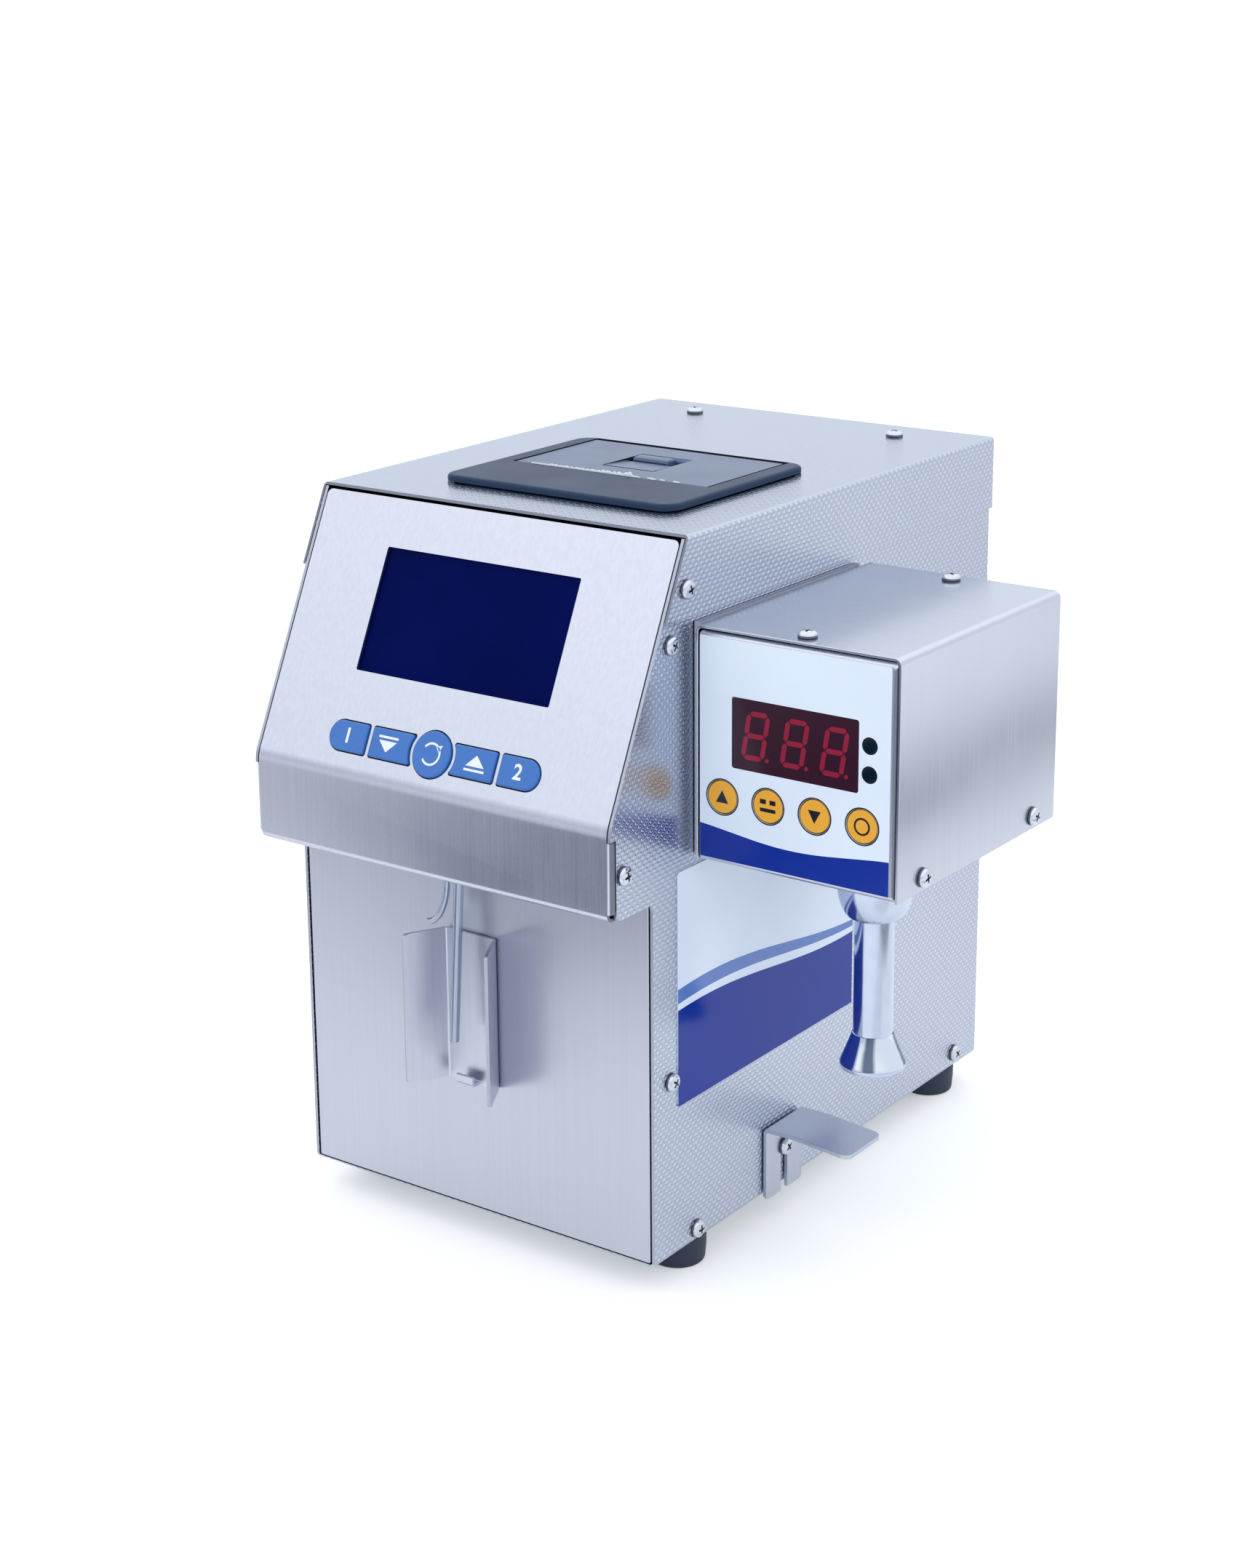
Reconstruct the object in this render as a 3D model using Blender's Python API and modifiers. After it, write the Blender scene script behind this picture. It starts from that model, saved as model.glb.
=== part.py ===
"""A countertop milk analyzer with a sloping display head and an ultrasonic stirrer on its right side.

Metres, +Z up. The casing's middle is at x = 0, the head's front face at y = 0 and the table at z = 0
in the casing's own frame; an empty shifts that frame so that the world origin is the middle of the
bottom of the whole object's bounding box.
"""

import math

import bmesh
import bpy
from mathutils import Vector

# Clearances and overruns
GAP = 0.0003
SEAT_GAP = 0.0001
LABEL_GAP = 0.00005
OVERRUN = 0.002
MERGE = 0.000001

# Casing
BODY_WIDTH = 0.136
BODY_DEPTH = 0.2157
BODY_HEIGHT = 0.2293
FOOT_HEIGHT = 0.0096
HEAD_OVERHANG = 0.0202
BAND_HEIGHT = 0.027
SLOPE_LEAN = math.radians(25.41)
SHEET = 0.001
COVER_SHEET = 0.0008
COVER_SKIRT = 0.0238
COVER_BEND = 0.0012
COVER_FRONT_GAP = 0.0019
KNEE_BEND = 0.0022
LIP_BEND = 0.0024
FLANGE_DEPTH = 0.0022
FLANGE_BEND = 0.0014
FLANGE_RELIEF = 0.0008
WALL_CORNER = 0.003
PANEL_UPSTAND = 0.0076

# Feet
FOOT_RADIUS = 0.009
FOOT_TIP_RADIUS = 0.0084
FOOT_CROWN = 0.0008
FOOT_INSET_X = 0.011
FOOT_FRONT_Y = 0.046
FOOT_REAR_INSET = 0.0167

# Sloping panel, measured up the slope from the knee
PANEL_CENTRE_X = -0.0005
KEY_ROW_UP = 0.011
KEY_HEIGHT = 0.0092
KEY_CORNER = 0.0007
KEY_PROUD = 0.0009
KEY_DEPTH = 0.0032
KEY_CROWN = 0.0005
KEY_TRAVEL = 0.0008
KEY_WEB = 0.0018
ARROW_KEY_LENGTH = 0.0147
END_KEY_LENGTH = 0.0143
ROUND_KEY_RADIUS = 0.007
ROUND_KEY_MARGIN = 0.0016
KEYPAD_MARGIN_X = 0.005
KEYPAD_MARGIN_UP = 0.0025
BOARD = 0.0016
SWITCH_SIDE = 0.006
POST_RADIUS = 0.0016
LCD_WIDTH = 0.0724
LCD_HEIGHT = 0.0383
LCD_PANE = 0.002
LCD_PANE_MARGIN = 0.003
LCD_FRAME_DEPTH = 0.006
LCD_FRAME_MARGIN = 0.0055
LCD_BOARD_MARGIN_X = 0.0085
LCD_BOARD_MARGIN_UP = 0.00885
LCD_TOP_MARGIN = 0.0169
BOARD_SPACING = 0.0017

# Pipes under the head
INTAKE_RADIUS = 0.0015
INTAKE_BORE = 0.0009
INTAKE_BORE_DEPTH = 0.006
INTAKE_RISE = 0.0136
INTAKE_DROP = 0.0549
INTAKE_Y = 0.0161
INTAKE_LEAN = 0.0054
RINSE_RADIUS = 0.001
RINSE_RISE = 0.0096
RINSE_X = -0.0046
RINSE_Y = 0.0146
RINSE_DROP = 0.0184
RINSE_SWING_X = 0.0042
RINSE_SWING_Y = 0.0035
RINSE_BEND_START = 0.0075
RINSE_POINTS = 9
PIPE_SIDES_RESOLUTION = 2

# Cup bracket
BRACKET_HALF = 0.0096
BRACKET_SPLAY = 0.0069
BRACKET_REACH = 0.013
BRACKET_DROP = 0.0229
BRACKET_HEIGHT = 0.0485
BRACKET_BEND = 0.0018
BRACKET_CORNER = 0.002
TAB_WIDTH = 0.0085
TAB_REACH = 0.0045
TAB_RISE = 0.0032
TAB_X = 0.0005

# Fasteners
SCREW_RADIUS = 0.0015
SCREW_HEAD_RADIUS = 0.00285
SCREW_HEAD_HEIGHT = 0.0019
SCREW_LENGTH = 0.006
SCREW_DOME_SHARE = 0.6

# Screws on the right wall and in the cover's top
COVER_SCREW_Y = 0.0356
COVER_SCREW_DROP = 0.0152
UPPER_SCREW_Y = 0.0293
UPPER_SCREW_DROP = 0.0304
HEAD_SCREW_Y = 0.0059
HEAD_SCREW_RISE = 0.0130
LABEL_SCREW_Y = 0.0290
LABEL_SCREW_RISE = 0.0090
FRONT_LOW_SCREW_Y = 0.0421
FRONT_LOW_SCREW_HEIGHT = 0.0140
REAR_LOW_SCREW_INSET = 0.0163
REAR_LOW_SCREW_HEIGHT = 0.0150
TOP_SCREW_X = 0.040
TOP_SCREW_INSET = 0.0182

# Side label
LABEL_SHEET = 0.00025
LABEL_RISE = 0.0244
LABEL_DROP = 0.0032
LABEL_REAR = 0.1300

# Shelf for the stirred cup
SHELF_SHEET = 0.0013
SHELF_Y = 0.0885
SHELF_WIDTH = 0.0205
SHELF_BOTTOM = 0.0087
SHELF_TOP = 0.0330
SHELF_REACH = 0.0308
SHELF_FLAT = 0.0118
SHELF_DROOP = 0.0016
SHELF_BEND = 0.0018
SHELF_CORNER = 0.003
SHELF_SLOT = 0.0038
SHELF_SCREW_HEIGHT = 0.0236

# Printer in the cover
PRINTER_X = 0.0045
PRINTER_FRONT_Y = 0.057
BEZEL_SIDE = 0.0065
BEZEL_DEPTH = 0.075
BEZEL_SHEET = 0.0020
BEZEL_CORNER = 0.006
BEZEL_CROWN = 0.0008
BUCKET_INSET_X = 0.00425
BUCKET_INSET_Y = 0.002
BUCKET_DEPTH = 0.044
BUCKET_WALL = 0.0022
LID_DEPTH = 0.0440
LID_SHEET = 0.003
LID_REAR_MARGIN = 0.0013
LID_LEDGE = 0.0038
PAPER_SLOT = 0.0010
LATCH_RECESS_WIDTH = 0.0192
LATCH_RECESS_DEPTH_Y = 0.0200
LATCH_RECESS_FRONT = 0.0115
LATCH_RECESS_DROP = 0.0036
LATCH_RECESS_SHALLOW = 0.0010
LATCH_BOSS_WALL = 0.0012
LATCH_BAR_DEPTH_Y = 0.0062
LATCH_BAR_SHEET = 0.0018
LATCH_PIN_RADIUS = 0.0009
LATCH_SHIFT_X = -0.0007
ROLLER_RADIUS = 0.004
ROLLER_AXLE_RADIUS = 0.001
ROLLER_DROP = 0.0048
ROLLER_ARM = 0.002
ROLLER_ARM_HALF = 0.0026
ROLLER_BACK = 0.0043
PAPER_WIDTH = 0.0565
PAPER_SIDE_SPACE = 0.0085
PAPER_RADIUS = 0.0145
PAPER_CORE_RADIUS = 0.0055
PAPER_DROP = 0.0222
PAPER_BACK = 0.0245
SPINDLE_RADIUS = 0.0049

# Works inside the casing
WORKS_FRONT_SPACE = 0.007
PUMP_X = 0.030
PUMP_WIDTH = 0.036
PUMP_DEPTH = 0.018
PUMP_HEIGHT = 0.040
PUMP_WALL = 0.006
ROTOR_RADIUS = 0.009
ROTOR_THICKNESS = 0.010
ROLLER_PITCH_RADIUS = 0.0088
PUMP_ROLLER_RADIUS = 0.0034
PUMP_ROLLER_COUNT = 3
SHAFT_RADIUS = 0.002
SHAFT_GRIP = 0.008
MOTOR_RADIUS = 0.012
MOTOR_LENGTH = 0.030
CELL_X = -0.030
CELL_WIDTH = 0.040
CELL_DEPTH = 0.026
CELL_HEIGHT = 0.034
CELL_PORT_RADIUS = 0.002
CELL_PORT_HEIGHT = 0.007
MAIN_BOARD_WIDTH = 0.100
MAIN_BOARD_FRONT_SPACE = 0.0191
MAIN_BOARD_REAR_SPACE = 0.014
STANDOFF_HEIGHT = 0.007
STANDOFF_RADIUS = 0.003
STANDOFF_INSET = 0.006
CHIP_HEIGHT = 0.006

# Rear panel
PORT_HEIGHT = 0.060
SWITCH_X = 0.042
INLET_X = 0.012
SERIAL_X = -0.026
SWITCH_FLANGE_WIDTH = 0.015
SWITCH_FLANGE_HEIGHT = 0.021
SWITCH_FLANGE = 0.0016
SWITCH_RIM = 0.0014
SWITCH_BODY_DEPTH = 0.014
ROCKER_LENGTH = 0.0136
ROCKER_WIDTH = 0.0102
ROCKER_RISE = 0.0016
ROCKER_DEPTH = 0.0062
ROCKER_TILT = math.radians(8)
ROCKER_PIN_RADIUS = 0.0011
INLET_FLANGE_RADIUS = 0.007
INLET_FLANGE = 0.0018
INLET_RADIUS = 0.0053
INLET_BORE_RADIUS = 0.0032
INLET_PIN_RADIUS = 0.001
INLET_DEPTH = 0.012
INLET_BORE_DEPTH = 0.009
SERIAL_FLANGE_WIDTH = 0.031
SERIAL_FLANGE_HEIGHT = 0.0125
SERIAL_FLANGE = 0.001
SERIAL_SHELL_WIDTH = 0.0169
SERIAL_SHELL_HEIGHT = 0.0084
SERIAL_SHELL_REACH = 0.0056
SERIAL_SHELL_SLANT = 0.0012
SERIAL_BODY_DEPTH = 0.006

# Stirrer
MOUNT_PLATE = 0.0021
MOUNT_PLATE_SETBACK = 0.003
STIRRER_WIDTH = 0.0671
STIRRER_DEPTH = 0.0926
STIRRER_HEIGHT = 0.0701
STIRRER_SPACE_ABOVE = 0.0018
STIRRER_FRONT = 0.0378
STIRRER_SHEET = 0.0008
STIRRER_BEND = 0.0022
CHASSIS_SHEET = 0.001
CHASSIS_SETBACK = 0.0005
CHASSIS_BEND = 0.0016
CHASSIS_FLANGE = 0.0105
CHASSIS_SIDE_FLANGE = 0.009
STIRRER_TOP_SCREW_INSET = 0.0060
STIRRER_SIDE_SCREW_INSET = 0.0138
STIRRER_SIDE_SCREW_RISE = 0.0041
OVERLAY_SHEET = 0.00025
OVERLAY_LEFT_INSET = 0.0003
OVERLAY_RIGHT_INSET = 0.0019
OVERLAY_BOTTOM_INSET = 0.0016
OVERLAY_TOP_INSET = 0.0016
DISPLAY_WIDTH = 0.0376
DISPLAY_HEIGHT = 0.019
DISPLAY_BLOCK_DEPTH = 0.008
DISPLAY_RISE = 0.0404
DISPLAY_SHIFT_X = 0.0004
STIRRER_KEY_RADIUS = 0.0048
STIRRER_KEY_PITCH = 0.01543
STIRRER_KEY_FIRST_X = 0.0091
STIRRER_KEY_RISE = 0.0205
STIRRER_KEY_DEPTH = 0.004
STIRRER_KEY_PROUD = 0.0001
STIRRER_KEY_TRAVEL = 0.0004
STIRRER_KEY_COUNT = 4
STIRRER_BOARD_MARGIN = 0.0032
STIRRER_BOARD_FOOT = 0.0066
HORN_INSET_Y = 0.0452
COLLAR_RADIUS = 0.0116
COLLAR_STRAIGHT = 0.012
BOWL_HEIGHT = 0.012
BOWL_STEP = 0.0007
HORN_RADIUS = 0.00605
HORN_LENGTH_SHARE = 0.7167
FLARE_RADIUS = 0.0101
FLARE_HEIGHT = 0.0094
FLARE_STEP = 0.0003
FLARE_WAIST_SHARE = 0.47
FLARE_RIM = 0.0016
FLARE_RIM_IN = 0.0007
STUD_RADIUS = 0.004
STUD_HEIGHT = 0.012
STACK_RADIUS = 0.017
STACK_END_RADIUS = 0.0145
STACK_HEIGHT = 0.044
STACK_CERAMIC_RADIUS = 0.019
STACK_CERAMIC_HEIGHT = 0.011

# Facets
ROUND_SIDES = 24
SCREW_SIDES = 14
HOLE_SIDES = 14
BEND_STEPS = 4
CORNER_STEPS = 4
KEY_ARC_STEPS = 8

# Places worked out from the sizes above
COVER_HALF = BODY_WIDTH / 2
WALL_HALF = COVER_HALF - COVER_SHEET - GAP
PANEL_HALF = WALL_HALF - SHEET - GAP
WALL_BACK = BODY_DEPTH - COVER_SHEET - GAP
WALL_TOP = BODY_HEIGHT - COVER_SHEET - GAP
FLOOR = FOOT_HEIGHT + SHEET
FRONT_INSIDE = HEAD_OVERHANG + SHEET
LCD_BOTTOM = (
    KEY_ROW_UP + ROUND_KEY_RADIUS + KEYPAD_MARGIN_UP + BOARD_SPACING + LCD_BOARD_MARGIN_UP
)
SLOPE_LENGTH = LCD_BOTTOM + LCD_HEIGHT + LCD_TOP_MARGIN
SLOPE_RUN = SLOPE_LENGTH * math.sin(SLOPE_LEAN)
SLOPE_RISE = SLOPE_LENGTH * math.cos(SLOPE_LEAN)
KNEE_HEIGHT = BODY_HEIGHT - SLOPE_RISE
HEAD_BOTTOM = KNEE_HEIGHT - BAND_HEIGHT
INTAKE_TOP = HEAD_BOTTOM + INTAKE_RISE
INTAKE_END = HEAD_BOTTOM - INTAKE_DROP
BRACKET_BOTTOM = HEAD_BOTTOM - BRACKET_DROP - BRACKET_HEIGHT
SKIRT_BOTTOM = BODY_HEIGHT - COVER_SKIRT
STIRRER_LEFT = WALL_HALF + GAP + MOUNT_PLATE + GAP
STIRRER_RIGHT = STIRRER_LEFT + STIRRER_WIDTH
STIRRER_REAR = STIRRER_FRONT + STIRRER_DEPTH
STIRRER_TOP = SKIRT_BOTTOM - STIRRER_SPACE_ABOVE
STIRRER_BOTTOM = STIRRER_TOP - STIRRER_HEIGHT
HORN_LENGTH = (STIRRER_BOTTOM - SHELF_TOP) * HORN_LENGTH_SHARE
LABEL_BOTTOM = SHELF_TOP + LABEL_RISE
RIGHT_END = STIRRER_RIGHT + SEAT_GAP + SCREW_HEAD_HEIGHT
REAR_END = WALL_BACK + SERIAL_SHELL_REACH
BEZEL_BOTTOM = BODY_HEIGHT + GAP
BEZEL_TOP = BEZEL_BOTTOM + BEZEL_SHEET
LID_WIDTH = PAPER_WIDTH + 2 * PAPER_SIDE_SPACE
BEZEL_WIDTH = LID_WIDTH + 2 * BEZEL_SIDE
PRINTER_REAR_Y = PRINTER_FRONT_Y + BEZEL_DEPTH

# Turns that lay an outline drawn in X and Y into another plane
IN_YZ = (math.pi / 2, 0, math.pi / 2)
IN_XZ = (math.pi / 2, 0, 0)
TO_RIGHT = (0, math.pi / 2, 0)
TO_REAR = (-math.pi / 2, 0, 0)


def slope_y(height):
    """How far back the sloping face is at a height."""
    return SLOPE_RUN * (height - KNEE_HEIGHT) / SLOPE_RISE


def clear_scene():
    for obj in list(bpy.data.objects):
        bpy.data.objects.remove(obj, do_unlink=True)


def new_collection(name):
    collection = bpy.data.collections.new(name)
    bpy.context.scene.collection.children.link(collection)
    return collection


def new_material(name, colour, roughness, metallic=0.0):
    material = bpy.data.materials.new(name)
    material.use_nodes = True
    shader = material.node_tree.nodes["Principled BSDF"]
    shader.inputs["Base Color"].default_value = (*colour, 1.0)
    shader.inputs["Roughness"].default_value = roughness
    shader.inputs["Metallic"].default_value = metallic
    return material


clear_scene()
PARTS = new_collection("milk_analyzer")
CUTTERS = new_collection("milk_analyzer_cutters")

BRUSHED = new_material("brushed_steel", (0.62, 0.64, 0.70), 0.32, 1.0)
TEXTURED = new_material("textured_steel", (0.50, 0.53, 0.62), 0.30, 1.0)
CHROME = new_material("chrome", (0.80, 0.82, 0.86), 0.08, 1.0)
ALUMINIUM = new_material("polished_aluminium", (0.78, 0.81, 0.87), 0.12, 1.0)
SLATE = new_material("slate_plastic", (0.16, 0.20, 0.29), 0.45)
BLACK = new_material("black_plastic", (0.02, 0.02, 0.025), 0.40)
RUBBER = new_material("foot_rubber", (0.03, 0.03, 0.04), 0.80)
BLUE = new_material("blue_key", (0.07, 0.22, 0.62), 0.30)
YELLOW = new_material("yellow_key", (0.83, 0.43, 0.06), 0.35)
NAVY = new_material("display_glass", (0.00, 0.01, 0.09), 0.10)
WHITE = new_material("white_label", (0.80, 0.86, 0.95), 0.25)
CIRCUIT = new_material("circuit_board", (0.02, 0.16, 0.07), 0.50)
PAPER = new_material("paper", (0.90, 0.91, 0.93), 0.85)
CERAMIC = new_material("ceramic", (0.70, 0.66, 0.58), 0.50)


def new_empty(name, parent, location, rotation=(0, 0, 0)):
    empty = bpy.data.objects.new(name, None)
    PARTS.objects.link(empty)
    empty.parent = parent
    empty.location = location
    empty.rotation_euler = rotation
    return empty


MIDDLE_X = (RIGHT_END - COVER_HALF) / 2
MIDDLE_Y = REAR_END / 2
CASING = new_empty("casing_frame", None, (-MIDDLE_X, -MIDDLE_Y, 0))
SLOPE = new_empty("slope_frame", CASING, (0, 0, KNEE_HEIGHT), (math.pi / 2 - SLOPE_LEAN, 0, 0))


def show(name, mesh, material, location=(0, 0, 0), rotation=(0, 0, 0), parent=CASING):
    """Puts a mesh in the scene as one of the object's pieces."""
    obj = bpy.data.objects.new(name, mesh)
    PARTS.objects.link(obj)
    obj.parent = parent
    obj.location = location
    obj.rotation_euler = rotation
    if not mesh.materials:
        mesh.materials.append(material)
    return obj


def combine(target, mesh, operation, location=(0, 0, 0), rotation=(0, 0, 0), parent=CASING):
    """Cuts a mesh from a piece, or joins it to the piece."""
    cutter = bpy.data.objects.new(target.name + "_" + operation.lower(), mesh)
    CUTTERS.objects.link(cutter)
    cutter.parent = parent
    cutter.location = location
    cutter.rotation_euler = rotation
    cutter.hide_render = True
    cutter.display_type = "WIRE"
    modifier = target.modifiers.new(operation.capitalize(), "BOOLEAN")
    modifier.operation = operation
    modifier.solver = "EXACT"
    modifier.object = cutter


def cut(target, mesh, location=(0, 0, 0), rotation=(0, 0, 0), parent=CASING):
    combine(target, mesh, "DIFFERENCE", location, rotation, parent)


def join(target, mesh, location=(0, 0, 0), rotation=(0, 0, 0), parent=CASING):
    combine(target, mesh, "UNION", location, rotation, parent)


def finish_mesh(name, shape):
    """Turns an edited mesh into stored data with its faces pointing out."""
    bmesh.ops.recalc_face_normals(shape, faces=shape.faces)
    mesh = bpy.data.meshes.new(name)
    shape.to_mesh(mesh)
    shape.free()
    return mesh


def box(name, low, high):
    """A box between two opposite corners."""
    shape = bmesh.new()
    bmesh.ops.create_cube(shape, size=1.0)
    low = Vector(low)
    high = Vector(high)
    bmesh.ops.scale(shape, vec=high - low, verts=shape.verts)
    bmesh.ops.translate(shape, vec=(high + low) / 2, verts=shape.verts)
    return finish_mesh(name, shape)


def rod(name, radius, low, high, sides=HOLE_SIDES):
    """A cylinder about Z between two heights."""
    shape = bmesh.new()
    bmesh.ops.create_cone(
        shape, cap_ends=True, segments=sides, radius1=radius, radius2=radius, depth=high - low
    )
    bmesh.ops.translate(shape, vec=(0, 0, (high + low) / 2), verts=shape.verts)
    return finish_mesh(name, shape)


def mesh_of_curve(name, curve):
    """The welded mesh of a curve, which is removed."""
    holder = bpy.data.objects.new(name, curve)
    bpy.context.scene.collection.objects.link(holder)
    graph = bpy.context.evaluated_depsgraph_get()
    raw = bpy.data.meshes.new_from_object(holder.evaluated_get(graph))
    bpy.data.objects.remove(holder, do_unlink=True)
    bpy.data.curves.remove(curve)
    shape = bmesh.new()
    shape.from_mesh(raw)
    bpy.data.meshes.remove(raw)
    bmesh.ops.remove_doubles(shape, verts=shape.verts, dist=MERGE)
    return shape


def plate(name, outlines, thickness):
    """A flat plate from z = 0 up to a thickness; outlines after the first are holes in it."""
    curve = bpy.data.curves.new(name, "CURVE")
    curve.dimensions = "2D"
    curve.fill_mode = "BOTH"
    curve.extrude = thickness / 2
    for outline in outlines:
        spline = curve.splines.new("POLY")
        spline.points.add(len(outline) - 1)
        for point, (x, y) in zip(spline.points, outline):
            point.co = (x, y, 0, 1)
        spline.use_cyclic_u = True
    shape = mesh_of_curve(name, curve)
    bmesh.ops.dissolve_limit(
        shape, angle_limit=math.radians(1), verts=shape.verts, edges=shape.edges
    )
    bmesh.ops.translate(shape, vec=(0, 0, thickness / 2), verts=shape.verts)
    return finish_mesh(name, shape)


def tube(name, points, radius):
    """A solid round wire along a list of points."""
    curve = bpy.data.curves.new(name, "CURVE")
    curve.dimensions = "3D"
    curve.bevel_depth = radius
    curve.bevel_resolution = PIPE_SIDES_RESOLUTION
    curve.use_fill_caps = True
    spline = curve.splines.new("POLY")
    spline.points.add(len(points) - 1)
    for point, place in zip(spline.points, points):
        point.co = (*place, 1)
    return finish_mesh(name, mesh_of_curve(name, curve))


def turned(name, profile, sides, material, location, rotation=(0, 0, 0)):
    """A profile of (radius, height), from the top down its outer side, turned about Z."""
    mesh = bpy.data.meshes.new(name)
    edges = [(i, i + 1) for i in range(len(profile) - 1)]
    mesh.from_pydata([(radius, 0, height) for radius, height in profile], edges, [])
    obj = show(name, mesh, material, location, rotation)
    screw = obj.modifiers.new("Turn", "SCREW")
    screw.axis = "Z"
    screw.angle = 2 * math.pi
    screw.steps = sides
    screw.render_steps = sides
    screw.use_merge_vertices = True
    screw.merge_threshold = MERGE
    return obj


def soften(mesh, chosen, width, steps):
    """Rounds the chosen sharp edges of a mesh."""
    shape = bmesh.new()
    shape.from_mesh(mesh)
    edges = [
        edge
        for edge in shape.edges
        if len(edge.link_faces) == 2
        and edge.calc_face_angle(0) > math.radians(30)
        and chosen(edge.verts[0].co, edge.verts[1].co)
    ]
    bmesh.ops.bevel(
        shape, geom=edges, offset=width, segments=steps, profile=0.5, affect="EDGES"
    )
    shape.to_mesh(mesh)
    shape.free()
    return mesh


def soften_top(mesh, width, steps):
    """Rounds the rim of a mesh's highest face."""
    top = max(vertex.co.z for vertex in mesh.vertices)
    return soften(mesh, lambda a, b: min(a.z, b.z) > top - MERGE, width, steps)


def rounded(points, radii, steps, closed=True):
    """The outline with an arc at each corner whose radius isn't zero."""
    result = []
    for i, (point, radius) in enumerate(zip(points, radii)):
        corner = Vector(point)
        end = not closed and i in (0, len(points) - 1)
        if end or radius <= 0:
            result.append(tuple(corner))
            continue
        back = (Vector(points[i - 1]) - corner).normalized()
        ahead = (Vector(points[(i + 1) % len(points)]) - corner).normalized()
        half = back.angle(ahead) / 2
        centre = corner + (back + ahead).normalized() * radius / math.sin(half)
        start = corner + back * radius / math.tan(half) - centre
        stop = corner + ahead * radius / math.tan(half) - centre
        turn = math.atan2(start.x * stop.y - start.y * stop.x, start.dot(stop))
        first = math.atan2(start.y, start.x)
        for k in range(steps + 1):
            angle = first + turn * k / steps
            result.append(
                (centre.x + radius * math.cos(angle), centre.y + radius * math.sin(angle))
            )
    return result


def rectangle(left, right, bottom, top, corner=0.0):
    """The outline of a rectangle, its corners rounded if a radius is given."""
    points = [(left, bottom), (right, bottom), (right, top), (left, top)]
    return rounded(points, [corner] * 4, CORNER_STEPS)


def circle(x, y, radius, sides=HOLE_SIDES):
    turns = [2 * math.pi * k / sides for k in range(sides)]
    return [(x + radius * math.cos(turn), y + radius * math.sin(turn)) for turn in turns]


def offset_line(points, distance):
    """An open line moved to its left, with mitred corners."""
    directions = [
        (Vector(b) - Vector(a)).normalized() for a, b in zip(points[:-1], points[1:])
    ]
    lefts = [Vector((-direction.y, direction.x)) for direction in directions]
    moved = []
    for i, point in enumerate(points):
        before = lefts[max(i - 1, 0)]
        after = lefts[min(i, len(lefts) - 1)]
        shift = (before + after) / (1 + before.dot(after)) * distance
        moved.append(tuple(Vector(point) + shift))
    return moved


def bent_sheet(points, thickness, bends):
    """The outline of a bent sheet whose first face follows the points, its metal to their left."""
    near = []
    far = []
    for i, bend in enumerate(bends):
        before = Vector(points[i]) - Vector(points[i - 1])
        after = Vector(points[(i + 1) % len(points)]) - Vector(points[i])
        left_turn = before.x * after.y - before.y * after.x > 0
        tight = max(bend - thickness, 0)
        near.append(bend if left_turn else tight)
        far.append(tight if left_turn else bend)
    face = rounded(points, near, BEND_STEPS, closed=False)
    back = rounded(offset_line(points, thickness), far, BEND_STEPS, closed=False)
    return face + back[::-1]


def smooth(obj):
    """Shades a round piece smooth between its sharp edges."""
    obj.data.shade_smooth()


def add_screw(name, place, rotation, drilled):
    """A pan-head screw seated at a place, with a clearance hole in each piece it passes."""
    flat = SCREW_HEAD_HEIGHT * (1 - SCREW_DOME_SHARE)
    dome = SCREW_HEAD_HEIGHT - flat
    profile = []
    for k in range(BEND_STEPS + 1):
        angle = math.pi / 2 * k / BEND_STEPS
        profile.append((SCREW_HEAD_RADIUS * math.sin(angle), flat + dome * math.cos(angle)))
    profile.append((SCREW_HEAD_RADIUS, 0))
    profile.append((SCREW_RADIUS, 0))
    profile.append((SCREW_RADIUS, -SCREW_LENGTH))
    profile.append((0, -SCREW_LENGTH))
    out = Vector((0, 0, SEAT_GAP))
    if rotation == TO_RIGHT:
        out = Vector((SEAT_GAP, 0, 0))
    seat = Vector(place) + out
    smooth(turned(name, profile, SCREW_SIDES, CHROME, seat, rotation))
    for piece in drilled:
        hole = rod(name + "_hole", SCREW_RADIUS + GAP, -SCREW_LENGTH, OVERRUN)
        cut(piece, hole, place, rotation)


def add_body_shell():
    """Both side walls and the floor, bent from one textured sheet."""
    outline = [
        (HEAD_OVERHANG, FOOT_HEIGHT),
        (WALL_BACK, FOOT_HEIGHT),
        (WALL_BACK, WALL_TOP),
        (slope_y(WALL_TOP), WALL_TOP),
        (0, KNEE_HEIGHT),
        (0, KNEE_HEIGHT - FLANGE_RELIEF),
        (FLANGE_DEPTH + GAP, KNEE_HEIGHT - FLANGE_RELIEF),
        (FLANGE_DEPTH + GAP, HEAD_BOTTOM),
        (HEAD_OVERHANG, HEAD_BOTTOM),
    ]
    corners = [0, 0, 0, 0, 0, 0, 0, WALL_CORNER, WALL_CORNER]
    block = plate("body_shell", [rounded(outline, corners, CORNER_STEPS)], 2 * WALL_HALF)
    shell = show("body_shell", block, TEXTURED, (-WALL_HALF, 0, 0), IN_YZ)
    inside = box(
        "body_inside",
        (-WALL_HALF + SHEET, -OVERRUN, FLOOR),
        (WALL_HALF - SHEET, BODY_DEPTH + OVERRUN, BODY_HEIGHT + OVERRUN),
    )
    cut(shell, inside)
    return shell


def add_lower_front_panel():
    low = (-PANEL_HALF, HEAD_OVERHANG, FLOOR + GAP)
    high = (PANEL_HALF, FRONT_INSIDE, HEAD_BOTTOM + PANEL_UPSTAND)
    show("lower_front_panel", box("lower_front_panel", low, high), BRUSHED)


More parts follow.
